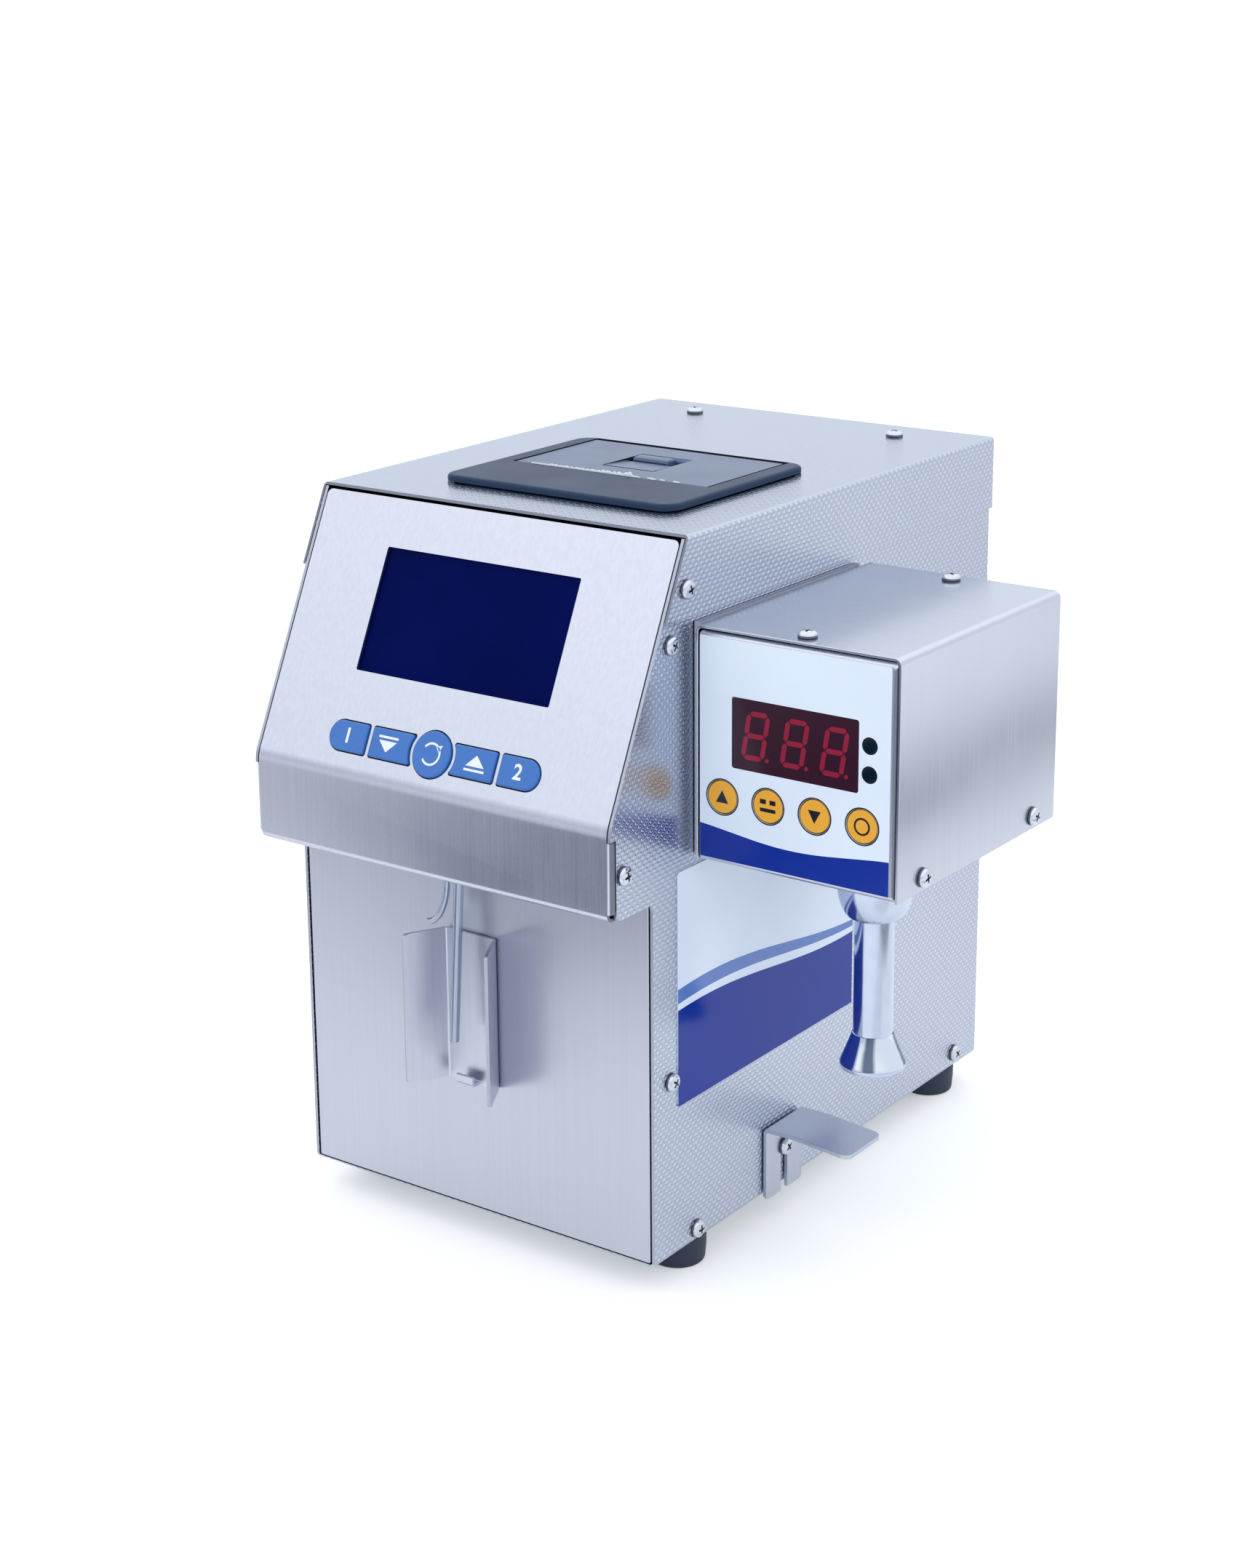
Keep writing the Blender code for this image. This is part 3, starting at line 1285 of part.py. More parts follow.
def add_measuring_cell():
    """The ultrasonic measuring cell, with a hose port at each end of its top."""
    front = FRONT_INSIDE + WORKS_FRONT_SPACE
    low = FLOOR + GAP
    block = box(
        "sensor_block",
        (CELL_X - CELL_WIDTH / 2, front, low),
        (CELL_X + CELL_WIDTH / 2, front + CELL_DEPTH, low + CELL_HEIGHT),
    )
    cell = show("sensor_block", block, ALUMINIUM)
    for side in (-1, 1):
        x = CELL_X + side * CELL_WIDTH / 4
        port = rod("cell_port", CELL_PORT_RADIUS, -CELL_PORT_HEIGHT, CELL_PORT_HEIGHT)
        join(cell, port, (x, front + CELL_DEPTH / 2, low + CELL_HEIGHT))


def add_main_board():
    """The main circuit board on four standoffs, with its larger components."""
    motor_rear = FRONT_INSIDE + WORKS_FRONT_SPACE + PUMP_DEPTH + GAP + MOTOR_LENGTH
    front = motor_rear + MAIN_BOARD_FRONT_SPACE
    rear = WALL_BACK - SHEET - MAIN_BOARD_REAR_SPACE
    low = FLOOR + GAP + STANDOFF_HEIGHT
    half = MAIN_BOARD_WIDTH / 2
    sheet = box("main_board", (-half, front, low), (half, rear, low + BOARD))
    board = show("main_board", sheet, CIRCUIT)
    for side in (-1, 1):
        x = side * (half - STANDOFF_INSET)
        for y in (front + STANDOFF_INSET, rear - STANDOFF_INSET):
            leg = rod("standoff", STANDOFF_RADIUS, FLOOR + GAP, low + BOARD / 2)
            join(board, leg, (x, y, 0))
        chip = box(
            "chip",
            (x - side * half / 2 - STANDOFF_INSET, rear - 3 * STANDOFF_INSET, low + BOARD / 2),
            (x - side * half / 2 + STANDOFF_INSET, rear - STANDOFF_INSET, low + CHIP_HEIGHT),
        )
        join(board, chip)


def add_rear_panel():
    """The rear panel with its openings for the switch, the inlet and the serial port."""
    switch_half_x = SWITCH_FLANGE_WIDTH / 2 - SWITCH_RIM + GAP
    switch_half_z = SWITCH_FLANGE_HEIGHT / 2 - SWITCH_RIM + GAP
    serial_half_x = SERIAL_SHELL_WIDTH / 2 + 2 * GAP
    serial_half_z = SERIAL_SHELL_HEIGHT / 2 + 2 * GAP
    low = FLOOR + GAP
    outlines = [
        rectangle(-PANEL_HALF, PANEL_HALF, low, WALL_TOP - GAP),
        rectangle(
            SWITCH_X - switch_half_x,
            SWITCH_X + switch_half_x,
            PORT_HEIGHT - switch_half_z,
            PORT_HEIGHT + switch_half_z,
        ),
        circle(INLET_X, PORT_HEIGHT, INLET_RADIUS + GAP, ROUND_SIDES),
        rectangle(
            SERIAL_X - serial_half_x,
            SERIAL_X + serial_half_x,
            PORT_HEIGHT - serial_half_z,
            PORT_HEIGHT + serial_half_z,
        ),
    ]
    show("rear_panel", plate("rear_panel", outlines, SHEET), TEXTURED, (0, WALL_BACK, 0), IN_XZ)


def add_power_switch():
    """The switch's housing in the rear panel and the rocker that tilts in it."""
    face = WALL_BACK + SEAT_GAP
    half_x = SWITCH_FLANGE_WIDTH / 2
    half_z = SWITCH_FLANGE_HEIGHT / 2
    middle = (SWITCH_X, face, PORT_HEIGHT)
    flange = box("switch_housing", (-half_x, 0, -half_z), (half_x, SWITCH_FLANGE, half_z))
    housing = show("switch_housing", flange, BLACK, middle)
    rim = SWITCH_RIM
    body = box(
        "switch_body",
        (-half_x + rim, -SWITCH_BODY_DEPTH, -half_z + rim),
        (half_x - rim, SWITCH_FLANGE / 2, half_z - rim),
    )
    join(housing, body, middle)
    sweep = math.hypot(ROCKER_LENGTH / 2, ROCKER_DEPTH) + GAP
    well_half_x = ROCKER_WIDTH / 2 + GAP
    lip = (ROCKER_DEPTH / 2 + SWITCH_FLANGE + ROCKER_RISE) * math.sin(ROCKER_TILT)
    well_half_z = ROCKER_LENGTH / 2 + lip + GAP
    well = box(
        "switch_well",
        (-well_half_x, -sweep, -well_half_z),
        (well_half_x, SWITCH_FLANGE + OVERRUN, well_half_z),
    )
    cut(housing, well, middle)
    pin_half = well_half_x + rim / 2
    hole = rod("rocker_hole", ROCKER_PIN_RADIUS + GAP, -pin_half - GAP, pin_half + GAP)
    cut(housing, hole, (SWITCH_X, face - ROCKER_DEPTH / 2, PORT_HEIGHT), TO_RIGHT)

    # The rocker's outline, in distance out from the pivot and height, is dished on its outer side
    out = ROCKER_DEPTH / 2 + SWITCH_FLANGE
    half = ROCKER_LENGTH / 2
    outline = [
        (-ROCKER_DEPTH / 2, -half / 2),
        (out / 2, -half),
        (out + ROCKER_RISE, -half),
        (out, 0),
        (out + ROCKER_RISE, half),
        (out / 2, half),
        (-ROCKER_DEPTH / 2, half / 2),
    ]
    mesh = plate("power_rocker", [outline], ROCKER_WIDTH)
    for vertex in mesh.vertices:
        x, y, z = vertex.co
        vertex.co = (z - ROCKER_WIDTH / 2, x, y)
    pivot = (SWITCH_X, face - ROCKER_DEPTH / 2, PORT_HEIGHT)
    tilt = (-ROCKER_TILT, 0, 0)
    rocker = show("power_rocker", mesh, BLACK, pivot, tilt)
    pin = rod("rocker_pin", ROCKER_PIN_RADIUS, -pin_half, pin_half)
    join(rocker, pin, pivot, TO_RIGHT)


def add_inlet():
    """The round inlet for the power supply's plug, with its centre pin."""
    profile = [
        (0, -INLET_PIN_RADIUS),
        (INLET_PIN_RADIUS, -INLET_PIN_RADIUS),
        (INLET_PIN_RADIUS, -INLET_BORE_DEPTH),
        (INLET_BORE_RADIUS, -INLET_BORE_DEPTH),
        (INLET_BORE_RADIUS, INLET_FLANGE),
        (INLET_FLANGE_RADIUS, INLET_FLANGE),
        (INLET_FLANGE_RADIUS, 0),
        (INLET_RADIUS, 0),
        (INLET_RADIUS, -INLET_DEPTH),
        (0, -INLET_DEPTH),
    ]
    place = (INLET_X, WALL_BACK + SEAT_GAP, PORT_HEIGHT)
    smooth(turned("dc_inlet", profile, ROUND_SIDES, BLACK, place, TO_REAR))


def trapezoid(width, height, slant):
    """A connector shell's outline, narrower at the bottom."""
    return [
        (-width / 2 + slant, -height / 2),
        (width / 2 - slant, -height / 2),
        (width / 2, height / 2),
        (-width / 2, height / 2),
    ]


def add_serial_port():
    face = WALL_BACK + SEAT_GAP
    place = (SERIAL_X, face + SERIAL_FLANGE, PORT_HEIGHT)
    half_x = SERIAL_FLANGE_WIDTH / 2
    half_z = SERIAL_FLANGE_HEIGHT / 2
    flange = plate("serial_port", [rectangle(-half_x, half_x, -half_z, half_z)], SERIAL_FLANGE)
    port = show("serial_port", flange, CHROME, place, IN_XZ)
    outline = trapezoid(SERIAL_SHELL_WIDTH, SERIAL_SHELL_HEIGHT, SERIAL_SHELL_SLANT)
    depth = SERIAL_SHELL_REACH - SEAT_GAP + SERIAL_BODY_DEPTH
    shell = plate("serial_shell", [outline], depth)
    join(port, shell, (SERIAL_X, WALL_BACK + SERIAL_SHELL_REACH, PORT_HEIGHT), IN_XZ)


def add_mount_plate():
    """The plate between the stirrer and the wall, set back so that a dark groove shows in front."""
    low = (WALL_HALF + GAP, STIRRER_FRONT + MOUNT_PLATE_SETBACK, STIRRER_BOTTOM)
    high = (STIRRER_LEFT - GAP, STIRRER_REAR - MOUNT_PLATE_SETBACK, STIRRER_TOP)
    show("stirrer_mount_plate", box("stirrer_mount_plate", low, high), BRUSHED)


def chassis_span():
    """The stirrer chassis: its left, right, front, rear and top faces inside the cover."""
    left = STIRRER_LEFT + STIRRER_SHEET + GAP
    right = STIRRER_RIGHT - STIRRER_SHEET - GAP
    front = STIRRER_FRONT + CHASSIS_SETBACK
    rear = STIRRER_REAR - CHASSIS_SETBACK
    return left, right, front, rear, STIRRER_TOP - STIRRER_SHEET - GAP


def display_span():
    """The digit block's left, right, bottom and top edges."""
    middle = (STIRRER_LEFT + STIRRER_RIGHT) / 2 - DISPLAY_SHIFT_X
    height = STIRRER_BOTTOM + DISPLAY_RISE
    half_x = DISPLAY_WIDTH / 2
    half_z = DISPLAY_HEIGHT / 2
    return middle - half_x, middle + half_x, height - half_z, height + half_z


def stirrer_key_places():
    first = STIRRER_LEFT + STIRRER_KEY_FIRST_X
    height = STIRRER_BOTTOM + STIRRER_KEY_RISE
    return [(first + k * STIRRER_KEY_PITCH, height) for k in range(STIRRER_KEY_COUNT)]


def horn_place():
    return (STIRRER_LEFT + STIRRER_RIGHT) / 2, STIRRER_FRONT + HORN_INSET_Y


def add_stirrer_cover():
    points = [
        (STIRRER_RIGHT, STIRRER_BOTTOM),
        (STIRRER_RIGHT, STIRRER_TOP),
        (STIRRER_LEFT, STIRRER_TOP),
        (STIRRER_LEFT, STIRRER_BOTTOM),
    ]
    profile = bent_sheet(points, STIRRER_SHEET, [0, STIRRER_BEND, STIRRER_BEND, 0])
    mesh = plate("stirrer_cover", [profile], STIRRER_DEPTH)
    return show("stirrer_cover", mesh, BRUSHED, (0, STIRRER_REAR, 0), IN_XZ)


def add_stirrer_chassis():
    """The bent sheet that closes the stirrer's front, bottom and rear, with flanges for its screws."""
    left, right, front, rear, top = chassis_span()
    points = [
        (front + CHASSIS_FLANGE, top),
        (front, top),
        (front, STIRRER_BOTTOM),
        (rear, STIRRER_BOTTOM),
        (rear, top),
        (rear - CHASSIS_FLANGE, top),
    ]
    bend = CHASSIS_BEND
    profile = bent_sheet(points, CHASSIS_SHEET, [0, bend, bend, bend, bend, 0])
    mesh = plate("stirrer_chassis", [profile], right - left)
    chassis = show("stirrer_chassis", mesh, BRUSHED, (left, 0, 0), IN_YZ)
    for near in (left, right - CHASSIS_SHEET):
        flange = box(
            "chassis_side_flange",
            (near, front + CHASSIS_FLANGE, STIRRER_BOTTOM + CHASSIS_SHEET / 2),
            (near + CHASSIS_SHEET, rear - CHASSIS_FLANGE, STIRRER_BOTTOM + CHASSIS_SIDE_FLANGE),
        )
        join(chassis, flange)
    low_x, high_x, low_z, high_z = display_span()
    window = box(
        "digit_opening",
        (low_x - GAP, front - OVERRUN, low_z - GAP),
        (high_x + GAP, front + CHASSIS_SHEET + OVERRUN, high_z + GAP),
    )
    cut(chassis, window)
    for x, z in stirrer_key_places():
        hole = rod("key_hole", STIRRER_KEY_RADIUS + GAP, -OVERRUN, CHASSIS_SHEET + OVERRUN)
        cut(chassis, hole, (x, front, z), TO_REAR)
    x, y = horn_place()
    hole = rod("stud_hole", STUD_RADIUS + GAP, -OVERRUN, CHASSIS_SHEET + OVERRUN)
    cut(chassis, hole, (x, y, STIRRER_BOTTOM))
    corner = STIRRER_BEND - STIRRER_SHEET - GAP
    corners = [(left, STIRRER_BOTTOM), (right, STIRRER_BOTTOM), (right, top), (left, top)]
    envelope = rounded(corners, [0, 0, corner, corner], BEND_STEPS)
    mesh = plate("chassis_envelope", [envelope], rear - front + 2 * OVERRUN)
    combine(chassis, mesh, "INTERSECT", (0, rear + OVERRUN, 0), IN_XZ)
    return chassis


def add_overlay():
    """The printed front sheet of the stirrer, open at its keys."""
    left, right, front, rear, top = chassis_span()
    outlines = [
        rectangle(
            left + OVERLAY_LEFT_INSET,
            right - OVERLAY_RIGHT_INSET,
            STIRRER_BOTTOM + OVERLAY_BOTTOM_INSET,
            top - OVERLAY_TOP_INSET,
        )
    ]
    for x, z in stirrer_key_places():
        outlines.append(circle(x, z, STIRRER_KEY_RADIUS + GAP, ROUND_SIDES))
    sheet = plate("stirrer_overlay", outlines, OVERLAY_SHEET)
    show("stirrer_overlay", sheet, WHITE, (0, front - LABEL_GAP, 0), IN_XZ)


def add_stirrer_keys():
    """Four round keys, each with its origin on its travel axis at the overlay's face."""
    front = chassis_span()[2] - LABEL_GAP - OVERLAY_SHEET
    for k, (x, z) in enumerate(stirrer_key_places()):
        name = "stirrer_key_" + str(k + 1)
        disc = rod(name, STIRRER_KEY_RADIUS, -STIRRER_KEY_PROUD, STIRRER_KEY_DEPTH, ROUND_SIDES)
        smooth(show(name, disc, YELLOW, (x, front, z), TO_REAR))


def add_stirrer_board():
    """The stirrer's circuit board, carrying the digit block, the key switches and four posts."""
    left, right, front, rear, top = chassis_span()
    low_x, high_x, low_z, high_z = display_span()
    block_front = front + SEAT_GAP
    board_front = block_front + DISPLAY_BLOCK_DEPTH
    sheet = box(
        "stirrer_board",
        (left + STIRRER_BOARD_MARGIN, board_front, STIRRER_BOTTOM + STIRRER_BOARD_FOOT),
        (right - STIRRER_BOARD_MARGIN, board_front + BOARD, top - STIRRER_BOARD_MARGIN),
    )
    board = show("stirrer_board", sheet, CIRCUIT)
    block = box(
        "digit_block", (low_x, block_front, low_z), (high_x, board_front + BOARD / 2, high_z)
    )
    join(board, block)
    key_rear = front - LABEL_GAP - OVERLAY_SHEET + STIRRER_KEY_DEPTH
    switch_front = key_rear + STIRRER_KEY_TRAVEL + GAP
    half = SWITCH_SIDE / 2
    for x, z in stirrer_key_places():
        switch = box(
            "stirrer_switch",
            (x - half, switch_front, z - half),
            (x + half, board_front + BOARD / 2, z + half),
        )
        join(board, switch)
    post_front = front + CHASSIS_SHEET + GAP
    inset = STIRRER_BOARD_MARGIN + 2 * POST_RADIUS
    for x in (left + inset, right - inset):
        post = rod("board_post", POST_RADIUS, 0, board_front + BOARD / 2 - post_front)
        join(board, post, (x, post_front, top - inset), TO_REAR)


def add_horn():
    """The stirring horn: a stud, a bowl-shaped collar, a round shank and a flared tip."""
    x, y = horn_place()
    profile = [
        (0, STUD_HEIGHT),
        (STUD_RADIUS, STUD_HEIGHT),
        (STUD_RADIUS, 0),
        (COLLAR_RADIUS, 0),
    ]
    narrow = HORN_RADIUS + BOWL_STEP
    for k in range(2 * BEND_STEPS + 1):
        angle = math.pi / 2 * k / (2 * BEND_STEPS)
        radius = narrow + (COLLAR_RADIUS - narrow) * math.cos(angle)
        profile.append((radius, -COLLAR_STRAIGHT - BOWL_HEIGHT * math.sin(angle)))
    tip = FLARE_RIM + GAP - HORN_LENGTH
    shank_end = tip + FLARE_HEIGHT
    top_radius = HORN_RADIUS + FLARE_STEP
    waist = top_radius + (FLARE_RADIUS - top_radius) * FLARE_WAIST_SHARE
    profile.append((HORN_RADIUS, -COLLAR_STRAIGHT - BOWL_HEIGHT))
    profile.append((HORN_RADIUS, shank_end))
    profile.append((top_radius, shank_end))
    profile.append((waist, shank_end - FLARE_HEIGHT / 2))
    profile.append((FLARE_RADIUS, tip))
    profile.append((FLARE_RADIUS - FLARE_RIM_IN, tip - FLARE_RIM))
    profile.append((0, tip - FLARE_RIM))
    place = (x, y, STIRRER_BOTTOM - GAP)
    smooth(turned("transducer_horn", profile, ROUND_SIDES, ALUMINIUM, place))


def add_stack():
    """The driver on the horn's stud inside the stirrer: two end masses with ceramic rings between."""
    x, y = horn_place()
    base = STIRRER_BOTTOM + CHASSIS_SHEET + GAP
    bore = STUD_RADIUS + GAP
    bore_top = STUD_HEIGHT + GAP
    ring_low = (STACK_HEIGHT - STACK_CERAMIC_HEIGHT) / 2
    ring_high = ring_low + STACK_CERAMIC_HEIGHT
    profile = [
        (0, STACK_HEIGHT),
        (STACK_END_RADIUS, STACK_HEIGHT),
        (STACK_RADIUS, ring_high),
        (STACK_CERAMIC_RADIUS, ring_high),
        (STACK_CERAMIC_RADIUS, ring_low),
        (STACK_RADIUS, ring_low),
        (STACK_END_RADIUS, 0),
        (bore, 0),
        (bore, bore_top),
        (0, bore_top),
    ]
    smooth(turned("transducer_stack", profile, ROUND_SIDES, CERAMIC, (x, y, base)))


def add_stirrer_screws(cover, chassis):
    x = horn_place()[0]
    for y, name in (
        (STIRRER_FRONT + STIRRER_TOP_SCREW_INSET, "screw_stirrer_top_front"),
        (STIRRER_REAR - STIRRER_TOP_SCREW_INSET, "screw_stirrer_top_rear"),
    ):
        add_screw(name, (x, y, STIRRER_TOP), (0, 0, 0), [cover, chassis])
    z = STIRRER_BOTTOM + STIRRER_SIDE_SCREW_RISE
    for y, name in (
        (STIRRER_FRONT + STIRRER_SIDE_SCREW_INSET, "screw_stirrer_side_front"),
        (STIRRER_REAR - STIRRER_SIDE_SCREW_INSET, "screw_stirrer_side_rear"),
    ):
        add_screw(name, (STIRRER_RIGHT, y, z), TO_RIGHT, [cover, chassis])


def add_stirrer():
    add_mount_plate()
    cover = add_stirrer_cover()
    chassis = add_stirrer_chassis()
    add_overlay()
    add_stirrer_keys()
    add_stirrer_board()
    add_horn()
    add_stack()
    add_stirrer_screws(cover, chassis)


def main():
    shell = add_body_shell()
    add_lower_front_panel()
    cover = add_top_cover()
    panel = add_head_panel()
    add_display()
    add_keys(panel)
    add_keypad_board()
    add_pipes(panel)
    add_cup_bracket()
    add_feet()
    add_side_label()
    add_wall_screws(shell, cover)
    add_cup_shelf(shell)
    add_printer(cover)
    add_pump()
    add_measuring_cell()
    add_main_board()
    add_rear_panel()
    add_power_switch()
    add_inlet()
    add_serial_port()
    add_stirrer()


main()
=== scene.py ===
import math

import bmesh
import bpy
from mathutils import Matrix, Vector


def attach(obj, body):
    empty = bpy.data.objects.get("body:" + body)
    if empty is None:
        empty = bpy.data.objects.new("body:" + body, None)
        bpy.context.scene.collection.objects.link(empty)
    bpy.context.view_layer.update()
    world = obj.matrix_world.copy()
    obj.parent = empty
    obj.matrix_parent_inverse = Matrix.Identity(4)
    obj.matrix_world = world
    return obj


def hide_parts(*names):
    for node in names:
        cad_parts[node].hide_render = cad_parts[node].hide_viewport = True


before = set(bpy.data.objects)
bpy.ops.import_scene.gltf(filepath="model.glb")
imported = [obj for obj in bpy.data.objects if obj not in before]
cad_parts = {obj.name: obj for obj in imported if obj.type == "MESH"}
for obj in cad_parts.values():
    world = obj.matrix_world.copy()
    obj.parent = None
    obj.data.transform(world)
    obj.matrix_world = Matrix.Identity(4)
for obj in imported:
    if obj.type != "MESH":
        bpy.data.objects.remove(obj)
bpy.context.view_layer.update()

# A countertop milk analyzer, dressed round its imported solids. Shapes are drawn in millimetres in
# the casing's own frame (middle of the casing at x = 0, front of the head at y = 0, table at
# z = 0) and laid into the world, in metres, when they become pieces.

MM = 0.001
SHIFT = Vector((35.35, 110.1, 0.0))
TO_WORLD = Matrix.Scale(MM, 4) @ Matrix.Translation(-SHIFT)


def turn(x_axis, y_axis, z_axis, origin=(0, 0, 0)):
    """The matrix that lays a drawing's own axes along three directions."""
    matrix = Matrix((x_axis, y_axis, z_axis)).transposed().to_4x4()
    matrix.translation = Vector(origin)
    return matrix


IN_YZ = turn((0, 1, 0), (0, 0, 1), (1, 0, 0))
IN_XZ = turn((1, 0, 0), (0, 0, 1), (0, -1, 0))
TO_RIGHT = turn((0, 0, -1), (0, 1, 0), (1, 0, 0))
TO_LEFT = turn((0, 0, 1), (0, 1, 0), (-1, 0, 0))
TO_REAR = turn((1, 0, 0), (0, 0, -1), (0, 1, 0))
LEAN = math.radians(25.41)
KNEE = 151.4
ALONG = Vector((math.sin(LEAN), math.cos(LEAN)))
INWARD = Vector((math.cos(LEAN), -math.sin(LEAN)))
SLOPE = turn((1, 0, 0), (0, ALONG.x, ALONG.y), (0, -INWARD.x, -INWARD.y), (0, 0, KNEE))


def at(x, y, z):
    return Matrix.Translation((x, y, z))


# ---------------------------------------------------------------- drawing


def rounded(points, radii, steps=6, closed=True):
    """The outline with an arc at each corner whose radius isn't zero."""
    if not isinstance(radii, (list, tuple)):
        radii = [radii] * len(points)
    result = []
    for i, (point, radius) in enumerate(zip(points, radii)):
        corner = Vector(point)
        if radius <= 0 or (not closed and i in (0, len(points) - 1)):
            result.append(tuple(corner))
            continue
        back = (Vector(points[i - 1]) - corner).normalized()
        ahead = (Vector(points[(i + 1) % len(points)]) - corner).normalized()
        half = back.angle(ahead) / 2
        centre = corner + (back + ahead).normalized() * radius / math.sin(half)
        start = corner + back * radius / math.tan(half) - centre
        stop = corner + ahead * radius / math.tan(half) - centre
        sweep = math.atan2(start.x * stop.y - start.y * stop.x, start.dot(stop))
        first = math.atan2(start.y, start.x)
        for k in range(steps + 1):
            t = first + sweep * k / steps
            result.append((centre.x + radius * math.cos(t), centre.y + radius * math.sin(t)))
    return result


def rectangle(left, right, low, high, corner=0.0, steps=6):
    return rounded([(left, low), (right, low), (right, high), (left, high)], corner, steps)


def circle(x, y, radius, sides=48):
    turns = [2 * math.pi * k / sides for k in range(sides)]
    return [(x + radius * math.cos(t), y + radius * math.sin(t)) for t in turns]


def offset(points, distance, closed=False):
    """A line moved to its left, with mitred corners."""
    count = len(points)
    pairs = range(count if closed else count - 1)
    lefts = []
    for i in pairs:
        step = (Vector(points[(i + 1) % count]) - Vector(points[i])).normalized()
        lefts.append(Vector((-step.y, step.x)))
    moved = []
    for i, point in enumerate(points):
        before = lefts[i - 1] if closed or i else lefts[0]
        after = lefts[i] if closed or i < count - 1 else lefts[-1]
        moved.append(tuple(Vector(point) + (before + after) / (1 + before.dot(after)) * distance))
    return moved


def bent_sheet(points, thickness, bends, steps=10):
    """The outline of a bent sheet whose first face follows the points, its metal to their left."""
    near, far = [], []
    for i, bend in enumerate(bends):
        before = Vector(points[i]) - Vector(points[i - 1])
        after = Vector(points[(i + 1) % len(points)]) - Vector(points[i])
        left_turn = before.x * after.y - before.y * after.x > 0
        tight = max(bend - thickness, 0.05) if bend else 0
        near.append(bend if left_turn else tight)
        far.append(tight if left_turn else bend)
    face = rounded(points, near, steps, closed=False)
    back = rounded(offset(points, thickness), far, steps, closed=False)
    return face + back[::-1]


def slab(outlines, low, high):
    """A flat plate between two heights; outlines after the first are holes in it."""
    curve = bpy.data.curves.new("outline", "CURVE")
    curve.dimensions = "2D"
    curve.fill_mode = "BOTH"
    curve.extrude = (high - low) / 2
    for outline in outlines:
        spline = curve.splines.new("POLY")
        spline.points.add(len(outline) - 1)
        for point, (x, y) in zip(spline.points, outline):
            point.co = (x, y, 0, 1)
        spline.use_cyclic_u = True
    shape = from_object(new_object("outline", curve))
    return moved(cleaned(shape, 1), at(0, 0, (low + high) / 2))


def from_side(outlines, left, right):
    """A solid drawn in side view (back, up), from one x to another."""
    return moved(slab(outlines, left, right), IN_YZ)


def from_front(outlines, front, rear):
    """A solid drawn in front view (right, up), from one y back to another."""
    return moved(slab(outlines, -rear, -front), IN_XZ)


def cleaned(shape, degrees):
    """The shape without doubled points, and without edges between faces that lie in one plane."""
    bmesh.ops.remove_doubles(shape, verts=shape.verts, dist=0.0005)
    bmesh.ops.dissolve_limit(
        shape, angle_limit=math.radians(degrees), verts=shape.verts, edges=shape.edges
    )
    return shape


def new_object(name, data):
    """A new object in the scene."""
    obj = bpy.data.objects.new(name, data)
    bpy.context.scene.collection.objects.link(obj)
    return obj


def discard(obj):
    """Removes a throwaway object with its mesh or curve."""
    data = obj.data
    kind = bpy.data.meshes if isinstance(data, bpy.types.Mesh) else bpy.data.curves
    bpy.data.objects.remove(obj, do_unlink=True)
    kind.remove(data)


def from_object(holder):
    """The evaluated mesh of a throwaway object, which is removed."""
    graph = bpy.context.evaluated_depsgraph_get()
    raw = bpy.data.meshes.new_from_object(holder.evaluated_get(graph))
    discard(holder)
    shape = bmesh.new()
    shape.from_mesh(raw)
    bpy.data.meshes.remove(raw)
    return shape


def block(low, high):
    shape = bmesh.new()
    bmesh.ops.create_cube(shape, size=1.0)
    low, high = Vector(low), Vector(high)
    bmesh.ops.scale(shape, vec=high - low, verts=shape.verts)
    bmesh.ops.translate(shape, vec=(high + low) / 2, verts=shape.verts)
    return shape


def loft(rings):
    """Quads between rings of points, capped at both ends."""
    shape = bmesh.new()
    rows = [[shape.verts.new(point) for point in ring] for ring in rings]
    count = len(rows[0])
    for low, high in zip(rows, rows[1:]):
        for i in range(count):
            j = (i + 1) % count
            shape.faces.new((low[i], low[j], high[j], high[i]))
    shape.faces.new(rows[0][::-1])
    shape.faces.new(rows[-1])
    return shape


def pillow(outline, rings):
    """A solid whose outline is inset by the first and lifted by the second number of each ring."""
    return loft([[(x, y, z) for x, y in offset(outline, inset, True)] for inset, z in rings])


def rim(radius, top, bottom):
    """Rings for a pillow whose upper edge is rounded."""
    turns = [math.pi / 2 * k / 5 for k in range(6)]
    return [(0, bottom)] + [
        (radius * (1 - math.cos(t)), top - radius * (1 - math.sin(t))) for t in turns
    ]


def lathe(profile, sides=48):
    """A closed profile of (radius, height) turned about Z; ends on the axis are closed there."""
    shape = bmesh.new()
    rows = []
    for radius, height in profile:
        if radius < 1e-6:
            rows.append([shape.verts.new((0, 0, height))])
        else:
            ring = circle(0, 0, radius, sides)
            rows.append([shape.verts.new((x, y, height)) for x, y in ring])
    pairs = list(zip(rows, rows[1:]))
    if len(rows[0]) > 1 and len(rows[-1]) > 1:
        pairs.append((rows[-1], rows[0]))
    for a, b in pairs:
        for i in range(sides):
            j = (i + 1) % sides
            if len(a) == 1 and len(b) > 1:
                shape.faces.new((a[0], b[i], b[j]))
            elif len(b) == 1 and len(a) > 1:
                shape.faces.new((a[i], b[0], a[j]))
            elif len(a) > 1 and len(b) > 1:
                shape.faces.new((a[i], b[i], b[j], a[j]))
    return shape


def arc(cx, cy, radius, first, last, steps=8):
    """Points on an arc between two angles in degrees."""
    turns = [math.radians(first + (last - first) * k / steps) for k in range(steps + 1)]
    return [(cx + radius * math.cos(t), cy + radius * math.sin(t)) for t in turns]


